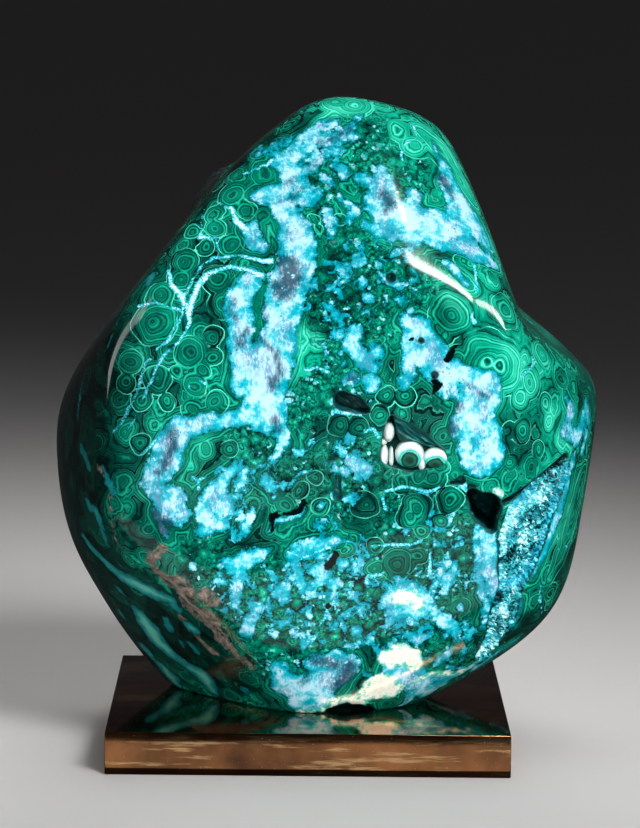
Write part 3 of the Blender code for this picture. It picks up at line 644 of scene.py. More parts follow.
def makeBlueGroup():   # chrysocolla from its rim inwards: the depth in millimetres gives the colour
    tree, given, out = newGroup("chrysocollaBlues", (("Depth", "Float"), ("Place", "Vector")),
                                (("Color", "Color"), ("Cover", "Float")))
    cloud = noiseOf(tree, given["Place"], 0.13, 6.0, 0.62)
    upright = vectorMaths(tree, "MULTIPLY", given["Place"], (1.0, 1.0, 0.5))
    fibres = noiseOf(tree, upright, 0.9, 5.0, 0.70)
    tone = maths(tree, "MULTIPLY_ADD", fibres, 0.26, maths(tree, "MULTIPLY_ADD", cloud, 0.72, -0.005))
    tone = maths(tree, "MULTIPLY_ADD", maths(tree, "MINIMUM", given["Depth"], 6.0), 0.020, tone)
    inner = rampOf(tree, tone, ((0.43, chrysocolla["turquoise"]), (0.49, chrysocolla["sky"]),
                                (0.545, chrysocolla["powder"]), (0.62, chrysocolla["white"])))
    haze = between(tree, noiseOf(tree, upright, 0.10, 3.0, 0.6), 0.48, 0.62)
    haze = maths(tree, "MULTIPLY", haze, between(tree, fibres, 0.60, 0.44))
    inner = blend(tree, maths(tree, "MULTIPLY", haze, 0.7), inner, rgb(chrysocolla["grey"]))
    threads = between(tree, noiseOf(tree, upright, 1.6, 5.0, 0.75), 0.40, 0.33)
    inner = blend(tree, maths(tree, "MULTIPLY", threads, 0.6), inner, rgb(chrysocolla["navy"]))
    edge = maths(tree, "MULTIPLY_ADD", maths(tree, "SUBTRACT", cloud, 0.5), 3.0, given["Depth"])
    rim = rampOf(tree, maths(tree, "DIVIDE", edge, 2.0), ((0.0, chrysocolla["rim"]), (0.4, chrysocolla["turquoise"]),
                                                          (0.9, chrysocolla["sky"])))
    plug(tree, out["Color"], blend(tree, between(tree, edge, 0.4, 1.8), rim, inner))
    plug(tree, out["Cover"], between(tree, given["Depth"], -0.14, 0.14))


def stoneMaterial():
    made, tree, shader, place = newMaterial("polishedMalachiteAndChrysocolla")
    drift = vectorMaths(tree, "SUBTRACT", noiseOf(tree, place, 0.09, 3.0, 0.5, "Color"), (0.5,) * 3)
    bent = vectorMaths(tree, "ADD", place, vectorMaths(tree, "MULTIPLY", drift, (9.0,) * 3))
    ragged = maths(tree, "SUBTRACT", noiseOf(tree, place, 0.26, 7.0, 0.70), 0.5)
    fine = maths(tree, "SUBTRACT", noiseOf(tree, place, 1.15, 4.0, 0.6), 0.5)
    unseen = attribute(tree, "unseen")
    patches = maths(tree, "MULTIPLY", between(tree, noiseOf(tree, place, 0.018, 2.0), 0.46, 0.58), unseen)
    mottle = maths(tree, "MAXIMUM", attribute(tree, "mottle"), patches)
    path = maths(tree, "ABSOLUTE", maths(tree, "SUBTRACT", noiseOf(tree, bent, 0.011, 2.0, 0.4), 0.5))
    wide = maths(tree, "MULTIPLY_ADD", noiseOf(tree, place, 0.016, 1.0), 26.0, -8.5)
    path = maths(tree, "MULTIPLY_ADD", path, -190.0, wide)
    path = maths(tree, "MULTIPLY_ADD", maths(tree, "SUBTRACT", 1.0, unseen), -60.0, path)
    vein = maths(tree, "MAXIMUM", attribute(tree, "vein"), path)
    orb = attribute(tree, "orb")
    # banded malachite
    big = maths(tree, "MULTIPLY_ADD", cellsOf(tree, bent, 0.075), -13.3, 7.0)
    small = maths(tree, "MULTIPLY_ADD", cellsOf(tree, bent, 0.19), -5.2, 3.2)
    free = between(tree, orb, 0.5, -0.5)
    wild = blendValue(tree, between(tree, maths(tree, "ADD", mottle, ragged), 0.35, 0.5), big, small)
    field = maths(tree, "MAXIMUM", orb, maths(tree, "MULTIPLY", wild, free))
    field = maths(tree, "MAXIMUM", field, maths(tree, "ADD", vein, 4.0))
    field = maths(tree, "MULTIPLY_ADD", ragged, 1.2, field)
    bands = useGroup(tree, "malachiteBands", {"Depth": field, "Place": place, "Bright": attribute(tree, "paintedLightAndPaleTone"),
                                              "Fineness": malachite["bandsPerMillimetre"]})
    lineHere = maths(tree, "MULTIPLY", bands["Line"], between(tree, noiseOf(tree, place, 0.12, 2.0), 0.42, 0.6))
    green = blend(tree, maths(tree, "MULTIPLY", lineHere, 0.35), bands["Color"], rgb(malachite["mint"]))
    # granular mottling, in two sizes
    coarse = useGroup(tree, "granules", {"Place": place, "Scale": 0.22})
    beads = useGroup(tree, "granules", {"Place": place, "Scale": 0.46})
    which = between(tree, noiseOf(tree, place, 0.08, 3.0, 0.6), 0.47, 0.53)
    granules = blend(tree, which, coarse["Color"], beads["Color"])
    pale = blendValue(tree, which, coarse["Pale"], beads["Pale"])
    grainy = between(tree, maths(tree, "MULTIPLY_ADD", ragged, 2.6, mottle), 0.45, 0.75)
    grainy = maths(tree, "MULTIPLY", grainy, between(tree, orb, 0.3, -0.3))
    green = blend(tree, maths(tree, "MULTIPLY", grainy, 0.92), green, granules)
    # the mint outline round an orb
    outline = between(tree, maths(tree, "ABSOLUTE", maths(tree, "MULTIPLY_ADD", fine, 0.6, orb)), 0.30, 0.08)
    outlined = maths(tree, "MULTIPLY", between(tree, noiseOf(tree, place, 0.07, 2.0), 0.40, 0.56), 0.85)
    green = blend(tree, maths(tree, "MULTIPLY", outline, outlined), green, rgb(malachite["mint"]))
    # darker malachite, and painted shade on the right edge, from the deep clouds
    green = blend(tree, maths(tree, "MULTIPLY", attribute(tree, "deep"), 0.45), green, rgb(malachite["dark"]))
    # chrysocolla: the placed veins, and islands scattered through the mottled areas
    islands = maths(tree, "MAXIMUM", attribute(tree, "islands"), patches)
    scatter = maths(tree, "SUBTRACT", noiseOf(tree, bent, 0.15, 6.0, 0.62),
                    maths(tree, "MULTIPLY_ADD", islands, -0.205, 0.742))
    scatter = maths(tree, "MULTIPLY", scatter, 18.0)
    cells = addNode(tree, "ShaderNodeTexVoronoi", {"Vector": bent, "Scale": 0.135})
    blobs = maths(tree, "MULTIPLY_ADD", cells.outputs["Distance"], -7.4, 1.9)
    picked = addNode(tree, "ShaderNodeSeparateColor", {0: cells.outputs["Color"]}).outputs[0]
    blobs = maths(tree, "SUBTRACT", blobs, maths(tree, "MULTIPLY", between(tree, picked, 0.60, 0.40), 6.0))
    blobs = maths(tree, "MULTIPLY_ADD", maths(tree, "SUBTRACT", islands, 0.9), 5.0, blobs)
    blobs = maths(tree, "MULTIPLY_ADD", ragged, 5.0, blobs)
    scatter = maths(tree, "MAXIMUM", scatter, blobs)
    scatter = maths(tree, "MINIMUM", scatter, maths(tree, "MULTIPLY_ADD", orb, -4.0, 1.0))
    veined = maths(tree, "MULTIPLY_ADD", ragged, 7.5, vein)
    veined = maths(tree, "MULTIPLY_ADD", fine, 1.2, veined)
    depth = maths(tree, "MAXIMUM", veined, scatter)
    blues = useGroup(tree, "chrysocollaBlues", {"Depth": depth, "Place": place})
    fibres = noiseOf(tree, vectorMaths(tree, "MULTIPLY", place, (1.0, 1.0, 0.25)), 1.0, 6.0, 0.74)
    smudge = maths(tree, "MULTIPLY_ADD", maths(tree, "SUBTRACT", fibres, 0.5), 10.0, attribute(tree, "smudge"))
    blue = blend(tree, maths(tree, "MULTIPLY", between(tree, smudge, -1.6, 2.4), 0.85), blues["Color"],
                 rgb(chrysocolla["navy"]))
    halo = between(tree, depth, -1.8, -0.1)   # malachite is darkest where it meets the blue
    green = blend(tree, maths(tree, "MULTIPLY", halo, 0.5), green, rgb(malachite["dark"]))
    colour = blend(tree, blues["Cover"], green, blue)
    paleHere = maths(tree, "MULTIPLY", maths(tree, "MULTIPLY", pale, grainy), 0.9)
    paleColour = rampOf(tree, noiseOf(tree, place, 0.4, 4.0, 0.7),
                        ((0.38, chrysocolla["turquoise"]), (0.50, chrysocolla["powder"]), (0.6, chrysocolla["white"])))
    colour = blend(tree, paleHere, colour, paleColour)
    # thin ribbons: turquoise at the edges and pale in the middle
    ribbon = maths(tree, "MULTIPLY_ADD", ragged, 1.5, attribute(tree, "ribbon"))
    ribbon = maths(tree, "MULTIPLY_ADD", fine, 0.9, ribbon)
    ribbonColour = rampOf(tree, maths(tree, "MULTIPLY_ADD", fine, 1.6, maths(tree, "MULTIPLY", ribbon, 0.5)),
                          ((0.0, (10, 146, 166)), (0.22, (88, 200, 212)), (0.55, (204, 232, 236))))
    colour = blend(tree, between(tree, ribbon, -0.22, 0.06), colour, ribbonColour)
    # pinholes
    pitted = between(tree, maths(tree, "MULTIPLY_ADD", fine, 5.0, attribute(tree, "specks")), -1.0, 2.0)
    hole = maths(tree, "MULTIPLY", between(tree, cellsOf(tree, place, 0.72), 0.34, 0.20), pitted)
    hole = maths(tree, "MULTIPLY", hole, between(tree, fibres, 0.50, 0.44))
    colour = blend(tree, hole, colour, rgb((4, 26, 34)))
    # cream nodules and a painted highlight, painted shade on the flank and edges, brown matrix and teal lenses
    creamAndHighlight = maths(tree, "MULTIPLY_ADD", ragged, 3.0, attribute(tree, "creamAndHighlight"))
    creamColour = rampOf(tree, maths(tree, "MULTIPLY_ADD", ragged, 2.2, maths(tree, "MULTIPLY", creamAndHighlight, 0.16)),
                         ((0.0, (70, 176, 160)), (0.12, (150, 206, 188)), (0.34, (226, 230, 218)),
                          (0.62, (196, 208, 196)), (0.85, (224, 222, 210))))
    colour = blend(tree, between(tree, creamAndHighlight, -0.9, 0.6), colour, creamColour)
    # painted shade: malachite darkened almost to black under the shade clouds
    paintedShadeGreen = blend(tree, 0.12, rgb((0, 9, 9)), green)
    colour = blend(tree, maths(tree, "MULTIPLY", attribute(tree, "shade"), 0.95), colour, paintedShadeGreen)
    brown = maths(tree, "MULTIPLY_ADD", ragged, 8.0, attribute(tree, "brown"))
    brownColour = rampOf(tree, noiseOf(tree, bent, 0.3, 5.0, 0.65),
                         ((0.35, (30, 46, 44)), (0.47, (84, 82, 74)), (0.58, (118, 106, 96)), (0.72, (150, 136, 124))))
    colour = blend(tree, between(tree, brown, -0.4, 0.8), colour, brownColour)
    lens = maths(tree, "MULTIPLY_ADD", ragged, 2.6, attribute(tree, "lens"))
    lensColour = rampOf(tree, maths(tree, "MULTIPLY_ADD", ragged, 0.9, maths(tree, "MULTIPLY", lens, 0.18)),
                        ((0.0, (2, 44, 52)), (0.15, (8, 92, 96)), (0.5, (26, 124, 122)), (1.0, (88, 172, 154))))
    colour = blend(tree, between(tree, lens, -0.15, 0.25), colour, lensColour)
    # the ledge of raw matrix
    ledge = vectorMaths(tree, "SUBTRACT", place, tuple(1000 * part for part in shape["ledgePlace"]))
    ledge = vectorMaths(tree, "DIVIDE", ledge, tuple(1000 * part for part in shape["ledgeHalfSizes"]))
    ledge = addNode(tree, "ShaderNodeVectorMath", {0: ledge}, operation="LENGTH").outputs["Value"]
    ledge = maths(tree, "MULTIPLY_ADD", ragged, 0.5, ledge)
    raw = between(tree, ledge, 0.86, 0.72)
    rawColour = rampOf(tree, noiseOf(tree, vectorMaths(tree, "MULTIPLY", place, (0.5, 1.0, 1.6)), 0.35, 6.0, 0.7),
                       ((0.40, (6, 8, 10)), (0.54, (34, 38, 40)), (0.62, (30, 66, 68)), (0.72, (150, 158, 154))))
    colour = blend(tree, raw, colour, rawColour)
    # the natural hollows
    sunk = attribute(tree, "sunk")
    rough = between(tree, maths(tree, "MULTIPLY_ADD", fine, 0.8, sunk), 0.2, 0.9)
    slanted = addNode(tree, "ShaderNodeVectorRotate", {"Vector": place, "Angle": math.radians(-38)},
                      rotation_type="Y_AXIS").outputs[0]
    slanted = vectorMaths(tree, "MULTIPLY", slanted, (0.14, 1.0, 1.0))
    crust = rampOf(tree, noiseOf(tree, slanted, 0.75, 6.0, 0.74),
                   ((0.36, (0, 16, 18)), (0.47, (0, 60, 62)), (0.57, (8, 112, 110)), (0.66, (110, 200, 196))))
    colour = blend(tree, maths(tree, "MULTIPLY", rough, 0.9), colour, crust)
    # painted shade: the hollows turn near-black where they are deepest
    depths = between(tree, maths(tree, "MULTIPLY_ADD", ragged, 4.0, sunk), 5.0, 10.0)
    colour = blend(tree, maths(tree, "MULTIPLY", depths, 0.92), colour, rgb((0, 10, 11)))
    # black specks, and painted shade in the pits and the slot
    blackSpecksAndPaintedShade = maths(tree, "MULTIPLY_ADD", ragged, 6.0, attribute(tree, "blackSpecksAndPaintedShade"))
    colour = blend(tree, between(tree, blackSpecksAndPaintedShade, -0.3, 0.3), colour, rgb((0, 10, 10)))
    plug(tree, shader.inputs["Base Color"], colour)
    unpolished = maths(tree, "MAXIMUM", rough, raw)
    scuffs = noiseOf(tree, vectorMaths(tree, "MULTIPLY", place, (0.3, 1.0, 2.4)), 0.9, 3.0, 0.6)
    gloss = maths(tree, "MULTIPLY_ADD", between(tree, scuffs, 0.6, 0.8), 0.05, 0.08)
    plug(tree, shader.inputs["Roughness"], maths(tree, "MULTIPLY_ADD", unpolished, 0.5, gloss))
    relief = maths(tree, "MULTIPLY", noiseOf(tree, place, 0.9, 5.0, 0.7), unpolished)
    relief = maths(tree, "SUBTRACT", relief, maths(tree, "MULTIPLY", hole, 0.6))
    bump = addNode(tree, "ShaderNodeBump", {"Strength": 0.6, "Distance": 0.0008, "Height": relief})
    plug(tree, shader.inputs["Normal"], bump.outputs[0])
    shader.inputs["IOR"].default_value = 1.5
    return made


def finishPiece(piece, node, material):
    piece.data.materials.clear()
    piece.data.materials.append(material)
    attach(piece, "root")
    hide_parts(node)


druse = {
    "across": 0.0015, "tall": 0.0022, "perSquareMetre": 1500000, "seed": 7, "wallDepths": (0.5, 9.2), "lean": 0.6,
    "softEdge": 0.003,
    "zones": {   # routes of (x, z, half width)
        "pale": (((0.0985, 0.1175, 0.003), (0.0925, 0.1150, 0.004), (0.0865, 0.1080, 0.0045), (0.0850, 0.0990, 0.004),
                  (0.0835, 0.0860, 0.0025)), ((0.0920, 0.0728, 0.0018), (0.0856, 0.0662, 0.002)),
                 ((0.0790, 0.0560, 0.0016), (0.0764, 0.0450, 0.0014))),
        "cyan": (((0.1175, 0.1360, 0.0016), (0.1135, 0.1227, 0.002), (0.1085, 0.1108, 0.0022), (0.1055, 0.0980, 0.0024),
                  (0.1000, 0.0890, 0.0026), (0.0940, 0.0803, 0.0024), (0.0830, 0.0790, 0.002)),
                 ((0.1000, 0.1225, 0.001), (0.0900, 0.1180, 0.0018))),
        # dark: black speckles, and a painted shadow along the step and under the crevice
        "dark": (((0.0800, 0.0881, 0.0002), (0.0904, 0.0949, 0.0008)), ((0.0800, 0.0735, 0.0004), (0.0875, 0.0715, 0.0008)),
                 ((0.0900, 0.0665, 0.0008),), ((0.1130, 0.1345, 0.001), (0.1040, 0.1285, 0.001))),
    },
}


def makeCrystalGroup():   # a carpet of six-sided crystals on a surface, each with its own size, lean and tint
    tree = bpy.data.node_groups.new("crystalCarpet", "GeometryNodeTree")
    for label, kind in (("Geometry", "Geometry"), ("Across", "Float"), ("Tall", "Float"), ("Density", "Float"),
                        ("Lean", "Float"), ("Seed", "Int"), ("Material", "Material")):
        tree.interface.new_socket(label, in_out="INPUT", socket_type="NodeSocket" + kind)
    tree.interface.new_socket("Geometry", in_out="OUTPUT", socket_type="NodeSocketGeometry")
    given = addNode(tree, "NodeGroupInput").outputs
    spots = addNode(tree, "GeometryNodeDistributePointsOnFaces",
                    {"Mesh": given["Geometry"], "Density": given["Density"], "Seed": given["Seed"]})
    crystal = addNode(tree, "GeometryNodeMeshCone", {"Vertices": 6, "Radius Top": 0.0, "Depth": given["Tall"],
                                                     "Radius Bottom": maths(tree, "MULTIPLY", given["Across"], 0.5)})

    def chance(low, high, extra, kind="FLOAT"):
        node = addNode(tree, "FunctionNodeRandomValue", data_type=kind)
        first = 0 if kind == "FLOAT_VECTOR" else 2
        plug(tree, node.inputs[first], low)
        plug(tree, node.inputs[first + 1], high)
        plug(tree, node.inputs["Seed"], maths(tree, "ADD", given["Seed"], float(extra)))
        return node.outputs[0 if kind == "FLOAT_VECTOR" else 1]

    sway = vectorMaths(tree, "MULTIPLY", chance((-1, -1, -3), (1, 1, 3), 1, "FLOAT_VECTOR"),
                       addNode(tree, "ShaderNodeCombineXYZ", {0: given["Lean"], 1: given["Lean"], 2: 1.0}).outputs[0])
    turn = addNode(tree, "FunctionNodeEulerToRotation", {0: sway}).outputs[0]
    turned = addNode(tree, "FunctionNodeRotateRotation", {0: spots.outputs["Rotation"], 1: turn},
                     rotation_space="LOCAL").outputs[0]
    placed = addNode(tree, "GeometryNodeInstanceOnPoints",
                     {"Points": spots.outputs["Points"], "Instance": crystal.outputs["Mesh"], "Rotation": turned,
                      "Scale": chance(0.45, 1.25, 2)})
    tinted = addNode(tree, "GeometryNodeStoreNamedAttribute",
                     {"Geometry": placed.outputs[0], "Name": "tint", "Value": chance(0.0, 1.0, 3)},
                     data_type="FLOAT", domain="INSTANCE")
    real = addNode(tree, "GeometryNodeRealizeInstances", {"Geometry": tinted.outputs[0]})
    dressed = addNode(tree, "GeometryNodeSetMaterial", {"Geometry": real.outputs[0], "Material": given["Material"]})
    addNode(tree, "NodeGroupOutput", {"Geometry": dressed.outputs[0]})
    return tree


def druseMaterial():
    made, tree, shader, place = newMaterial("druseCrystals")
    patches = noiseOf(tree, place, 0.13, 4.0, 0.65)
    pale = attribute(tree, "pale")
    chance = maths(tree, "MULTIPLY", attribute(tree, "tint"), maths(tree, "MULTIPLY_ADD", pale, -0.30, 0.66))
    tint = maths(tree, "MULTIPLY_ADD", patches, 1.9, maths(tree, "SUBTRACT", chance, 0.80))
    tint = maths(tree, "MULTIPLY_ADD", pale, 0.38, tint)
    # the dark zones: black speckles, and painted shadow along the step and under the crevice
    tint = maths(tree, "MULTIPLY_ADD", attribute(tree, "dark"), -0.42, tint)
    colour = rampOf(tree, tint, ((0.10, (0, 14, 16)), (0.28, (2, 76, 84)), (0.48, (10, 146, 158)),
                                 (0.68, (84, 200, 208)), (0.90, (212, 238, 240))))
    cyan = rampOf(tree, tint, ((0.10, (0, 104, 126)), (0.50, (16, 166, 190)), (0.90, (130, 220, 232))))
    plug(tree, shader.inputs["Base Color"], blend(tree, attribute(tree, "cyan"), colour, cyan))
    shader.inputs["Specular IOR Level"].default_value = 0.25
    plug(tree, shader.inputs["Roughness"], maths(tree, "MULTIPLY_ADD", patches, 0.3, 0.2))
    return made


def makeDruse(stone):   # the crust's crystals, carried on over the walls of the trough
    mesh = stone.data
    points = np.zeros(len(mesh.vertices) * 3)
    mesh.vertices.foreach_get("co", points)
    points = points.reshape(-1, 3)
    sunk, vein = (np.zeros(len(points)) for _ in range(2))
    mesh.attributes["sunk"].data.foreach_get("value", sunk)
    mesh.attributes["vein"].data.foreach_get("value", vein)
    corners = np.zeros(len(mesh.loops), dtype=np.int64)
    mesh.loops.foreach_get("vertex_index", corners)
    shallow, deepest = druse["wallDepths"]
    inside = gapToRoute(points[:, 0], points[:, 2], hollows["trough"][0]) < 0
    inside &= gapToRoute(points[:, 0], points[:, 2], hollows["crevice"][0]) > 0
    inside &= (sunk > shallow) & (sunk < deepest) & (vein < -0.4)
    walls = corners.reshape(-1, 3)
    walls = walls[inside[walls].all(axis=1)]
    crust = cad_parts["druse_crust"].data
    form = bmesh.new()
    placed = {index: form.verts.new(points[index]) for index in np.unique(walls)}
    for wall in walls:
        form.faces.new([placed[index] for index in wall])
    form.from_mesh(crust)
    form.normal_update()
    behind = [face for face in form.faces if face.normal.y > -0.1]
    bmesh.ops.delete(form, geom=behind, context="FACES")
    ground = bpy.data.meshes.new("crystalGround")
    form.to_mesh(ground)
    form.free()
    holder = bpy.data.objects.new("crystalGround", ground)
    bpy.context.scene.collection.objects.link(holder)
    tree = makeCrystalGroup()
    material = druseMaterial()
    carpet = holder.modifiers.new("crystals", "NODES")
    carpet.node_group = tree
    values = {"Across": druse["across"], "Tall": druse["tall"], "Density": float(druse["perSquareMetre"]),
              "Lean": druse["lean"], "Seed": druse["seed"], "Material": material}
    for item in tree.interface.items_tree:
        if item.in_out == "INPUT" and item.name in values:
            carpet[item.identifier] = values[item.name]
    bpy.context.view_layer.update()
    worked = bpy.context.evaluated_depsgraph_get()
    crystals = bpy.data.meshes.new_from_object(holder.evaluated_get(worked), preserve_all_data_layers=True,
                                               depsgraph=worked)
    bpy.data.objects.remove(holder)
    form = bmesh.new()
    form.from_mesh(crystals)
    form.from_mesh(crust)
    form.to_mesh(crystals)
    form.free()
    points = np.zeros(len(crystals.vertices) * 3)
    crystals.vertices.foreach_get("co", points)
    points = points.reshape(-1, 3)
    for name, routes in druse["zones"].items():
        gap = np.min([gapToRoute(points[:, 0], points[:, 2], route) for route in routes], axis=0)
        writeLayer(crystals, name, smoothStep(0.6 - gap / druse["softEdge"]))
    piece = bpy.data.objects.new("druseCrystals", crystals)
    bpy.context.scene.collection.objects.link(piece)
    finishPiece(piece, "druse_crust", material)
    return piece


# Knobs in the middle vug: their middle (x, z), half sizes, how far the front stays behind the face plane, how
# flat the front is, and where the green core ends, as a share of the radius.
knobs = {
    "bed": ((0.0440, 0.1400), (0.0150, 0.0050, 0.0080), 0.0050, 2, -1),
    "finger": ((0.0340, 0.1497), (0.0027, 0.0080, 0.0044), 0.0006, 2.6, 0),
    "nub": ((0.0318, 0.1455), (0.0017, 0.0070, 0.0018), 0.0012, 2.4, 0),
    "column": ((0.0320, 0.1391), (0.0021, 0.0085, 0.0056), 0.0008, 3, 0),
    "thinColumn": ((0.0352, 0.1386), (0.0012, 0.0080, 0.0050), 0.0012, 3, 0),
    "bigCap": ((0.0432, 0.1402), (0.0064, 0.0090, 0.0062), 0.0005, 6, 0.68),
    "smallCap": ((0.0545, 0.1387), (0.0054, 0.0080, 0.0046), 0.0007, 6, 0.84),
    "drip": ((0.0487, 0.1358), (0.0018, 0.0075, 0.0030), 0.0012, 3, 0),
}
knobForm = {"facePlane": -0.073, "rounds": 4, "lumps": 0.00022, "coreDrop": 1.15}


def knobMaterial():
    made, tree, shader, place = newMaterial("whiteKnobs")
    wobble = maths(tree, "SUBTRACT", noiseOf(tree, place, 0.4, 4.0, 0.6), 0.5)
    ring = maths(tree, "MULTIPLY_ADD", wobble, 0.22, attribute(tree, "ring"))
    colour = rampOf(tree, ring, ((0.0, (0, 44, 34)), (0.16, (4, 92, 70)), (0.22, (0, 50, 40)), (0.30, (0, 40, 34)),
                                 (0.36, (60, 200, 176)), (0.44, (28, 150, 150)), (0.52, (150, 206, 204)),
                                 (0.62, (194, 210, 206))))
    plug(tree, shader.inputs["Base Color"], colour)
    shader.inputs["Roughness"].default_value = 0.32
    relief = noiseOf(tree, place, 1.6, 4.0, 0.6)
    bump = addNode(tree, "ShaderNodeBump", {"Strength": 0.3, "Distance": 0.0004, "Height": relief})
    plug(tree, shader.inputs["Normal"], bump.outputs[0])
    return made


def makeKnobs():
    form = bmesh.new()
    ringLayer = form.verts.layers.float.new("ring")
    for (x, z), halfSizes, behind, flatness, core in knobs.values():
        ball = bmesh.ops.create_icosphere(form, subdivisions=knobForm["rounds"], radius=1)["verts"]
        middle = Vector((x, knobForm["facePlane"] + behind + halfSizes[1], z))
        for vertex in ball:
            ray = vertex.co.normalized()
            across = math.hypot(ray.x, ray.z)
            stretch = (across ** flatness + abs(ray.y) ** flatness) ** (-1 / flatness)
            swell = 1 + 0.6 * knobForm["lumps"] / min(halfSizes) * noise.noise(ray * 2.6 + middle * 900)
            low = math.hypot(ray.x, ray.z + knobForm["coreDrop"] * core ** 3 / max(stretch, 1e-6)) if core > 0 else 1
            vertex[ringLayer] = low * stretch * 0.6 / core - 0.2 if core > 0 else 1.0 + 0.75 * core
            vertex.co = middle + Vector([part * half * stretch * swell for part, half in zip(ray, halfSizes)])
    mesh = bpy.data.meshes.new("whiteKnobs")
    form.to_mesh(mesh)
    form.free()
    mesh.shade_smooth()
    piece = bpy.data.objects.new("whiteKnobs", mesh)
    bpy.context.scene.collection.objects.link(piece)
    finishPiece(piece, "knob_crust", knobMaterial())


# pale is the colour of the painted reflection streaks
bronze = {"edge": 0.0006, "dark": (112, 76, 54), "warm": (200, 136, 88), "pale": (255, 208, 146), "roughness": 0.10}


def bronzeMaterial():
    made, tree, shader, place = newMaterial("mirrorBronze")
    cloud = noiseOf(tree, place, 0.03, 4.0, 0.6)
    colour = rampOf(tree, cloud, ((0.35, bronze["dark"]), (0.7, bronze["warm"])))
    # painted reflection: pale golden horizontal streaks on the mirror bronze
    paintedReflectionStreaks = noiseOf(tree, vectorMaths(tree, "MULTIPLY", place, (0.16, 0.16, 1.6)), 0.16, 5.0, 0.6)
    colour = blend(tree, maths(tree, "MULTIPLY", between(tree, paintedReflectionStreaks, 0.53, 0.64), 0.75), colour, rgb(bronze["pale"]))
    dust = between(tree, cellsOf(tree, place, 0.45), 0.07, 0.03)
    colour = blend(tree, maths(tree, "MULTIPLY", dust, 0.8), colour, rgb((230, 206, 180)))
    plug(tree, shader.inputs["Base Color"], colour)
    shader.inputs["Metallic"].default_value = 1.0
    wiped = noiseOf(tree, vectorMaths(tree, "MULTIPLY", place, (0.05, 1.0, 1.0)), 1.2, 3.0, 0.6)
    gloss = maths(tree, "MULTIPLY_ADD", between(tree, wiped, 0.5, 0.8), 0.06, bronze["roughness"])
    plug(tree, shader.inputs["Roughness"], maths(tree, "MULTIPLY_ADD", dust, 0.4, gloss))
    bump = addNode(tree, "ShaderNodeBump", {"Strength": 0.15, "Distance": 0.002,
                                            "Height": noiseOf(tree, place, 0.02, 2.0, 0.5)})
    plug(tree, shader.inputs["Normal"], bump.outputs[0])
    return made


def makePlinth():
    low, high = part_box("plinth")
    form = bmesh.new()
    bmesh.ops.create_cube(form, size=1)
    bmesh.ops.scale(form, vec=high - low, verts=form.verts)
    bmesh.ops.translate(form, vec=(low + high) / 2, verts=form.verts)
    bmesh.ops.bevel(form, geom=form.edges[:], offset=bronze["edge"], segments=4, profile=0.5, affect="EDGES")
    mesh = bpy.data.meshes.new("bronzePlinth")
    form.to_mesh(mesh)
    form.free()
    mesh.shade_smooth()
    mesh.set_sharp_from_angle(angle=math.radians(40))
    plinth = bpy.data.objects.new("bronzePlinth", mesh)
    bpy.context.scene.collection.objects.link(plinth)
    finishPiece(plinth, "plinth", bronzeMaterial())


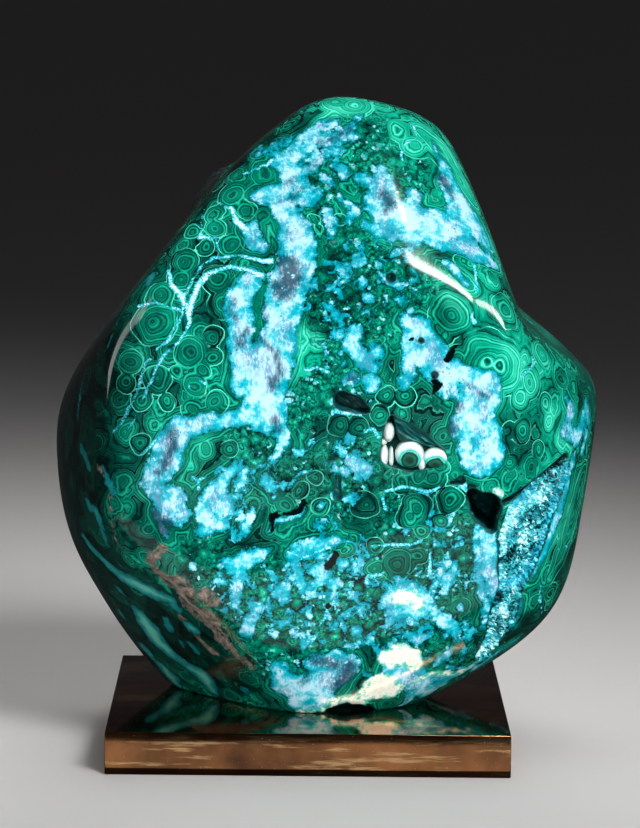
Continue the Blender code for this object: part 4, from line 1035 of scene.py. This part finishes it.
# Each light: its place, what it points at, which way its long side runs, its size, its power, the angle of its
# beam, and whether it shows in reflections.
studio = {
    "key": ((0.80, -1.30, 1.35), (0.02, 0, 0.16), (1, 0, 0), (0.7, 0.7), 2.3, 32, False),
    "front": ((-0.5, -1.9, 0.8), (0, 0, 0.16), (1, 0, 0), (1.0, 1.0), 0.5, 40, False),
    "above": ((0.1, 0.3, 1.7), (0, 0, 0.2), (1, 0, 0), (1.0, 1.0), 1.4, 50, False),
    "ridgeStrip": ((0.50, -0.533, 1.107), (0.06, -0.06, 0.216), (0.54, 0.03, -0.25), (0.66, 0.09), 5, 180, True),
    "sideStrip": ((1.029, -0.137, 0.761), (0.085, -0.06, 0.20), (0.26, 0.63, -0.36), (0.85, 0.08), 3.5, 180, True),
    "below": ((0.05, -0.75, 0.03), (0.03, -0.06, 0.05), (1, 0, 0), (0.6, 0.1), 0.9, 60, False),
    "rear": ((0.1, 1.7, 0.9), (0, 0, 0.15), (1, 0, 0), (0.7, 0.7), 0.7, 40, False),
    "lowCard": ((0, -0.17, 0.0008), (0, -0.17, 1), (1, 0, 0), (0.5, 0.15), 0.105, 180, True),
    "leftStrip": ((-1.03, -0.157, 0.764), (-0.082, -0.066, 0.185), (-0.624, 0.728, -0.923), (1.5, 0.26), 3.6, 180, True),
}
stage = {"floor": (0.52, 0.51, 0.50), "room": (0.022, 0.021, 0.022), "halfWidth": 20}


def makeStudio():
    for name, (place, aim, longSide, size, power, beam, shown) in studio.items():
        light = bpy.data.lights.new(name, "AREA")
        light.shape = "RECTANGLE"
        light.size, light.size_y = size
        light.energy = power
        light.spread = math.radians(beam)
        holder = bpy.data.objects.new(name, light)
        back = (Vector(place) - Vector(aim)).normalized()
        across = back.cross(Vector(longSide)).normalized()
        turned = Matrix((across.cross(back), across, back)).transposed().to_4x4()
        holder.matrix_world = Matrix.Translation(place) @ turned
        holder.visible_glossy = shown
        holder.visible_diffuse = not shown
        holder.visible_camera = False
        bpy.context.scene.collection.objects.link(holder)
    world = bpy.data.worlds.new("studio")
    world.use_nodes = True
    world.node_tree.nodes["Background"].inputs["Color"].default_value = stage["room"] + (1,)
    bpy.context.scene.world = world
    form = bmesh.new()
    bmesh.ops.create_grid(form, x_segments=1, y_segments=1, size=stage["halfWidth"])
    mesh = bpy.data.meshes.new("floor")
    form.to_mesh(mesh)
    form.free()
    floor = bpy.data.objects.new("floor", mesh)
    bpy.context.scene.collection.objects.link(floor)
    paper = bpy.data.materials.new("palePaper")
    paper.use_nodes = True
    paper.node_tree.nodes["Principled BSDF"].inputs["Base Color"].default_value = stage["floor"] + (1,)
    paper.node_tree.nodes["Principled BSDF"].inputs["Roughness"].default_value = 0.9
    mesh.materials.append(paper)
    floor.visible_glossy = False
    bpy.context.scene.view_settings.view_transform = "Standard"


makeCamera()
print("camera ready")
makeStudio()
print("studio ready")
makeBandGroup()
makeGranuleGroup()
makeBlueGroup()
stone = makeStone()
print("stone:", len(stone.data.polygons), "triangles")
makeMarks(stone)
print("marks written")
finishPiece(stone, "stone", stoneMaterial())
druseCrystals = makeDruse(stone)
print("druse:", len(druseCrystals.data.polygons), "faces")
makeKnobs()
makePlinth()
print("knobs and plinth ready")
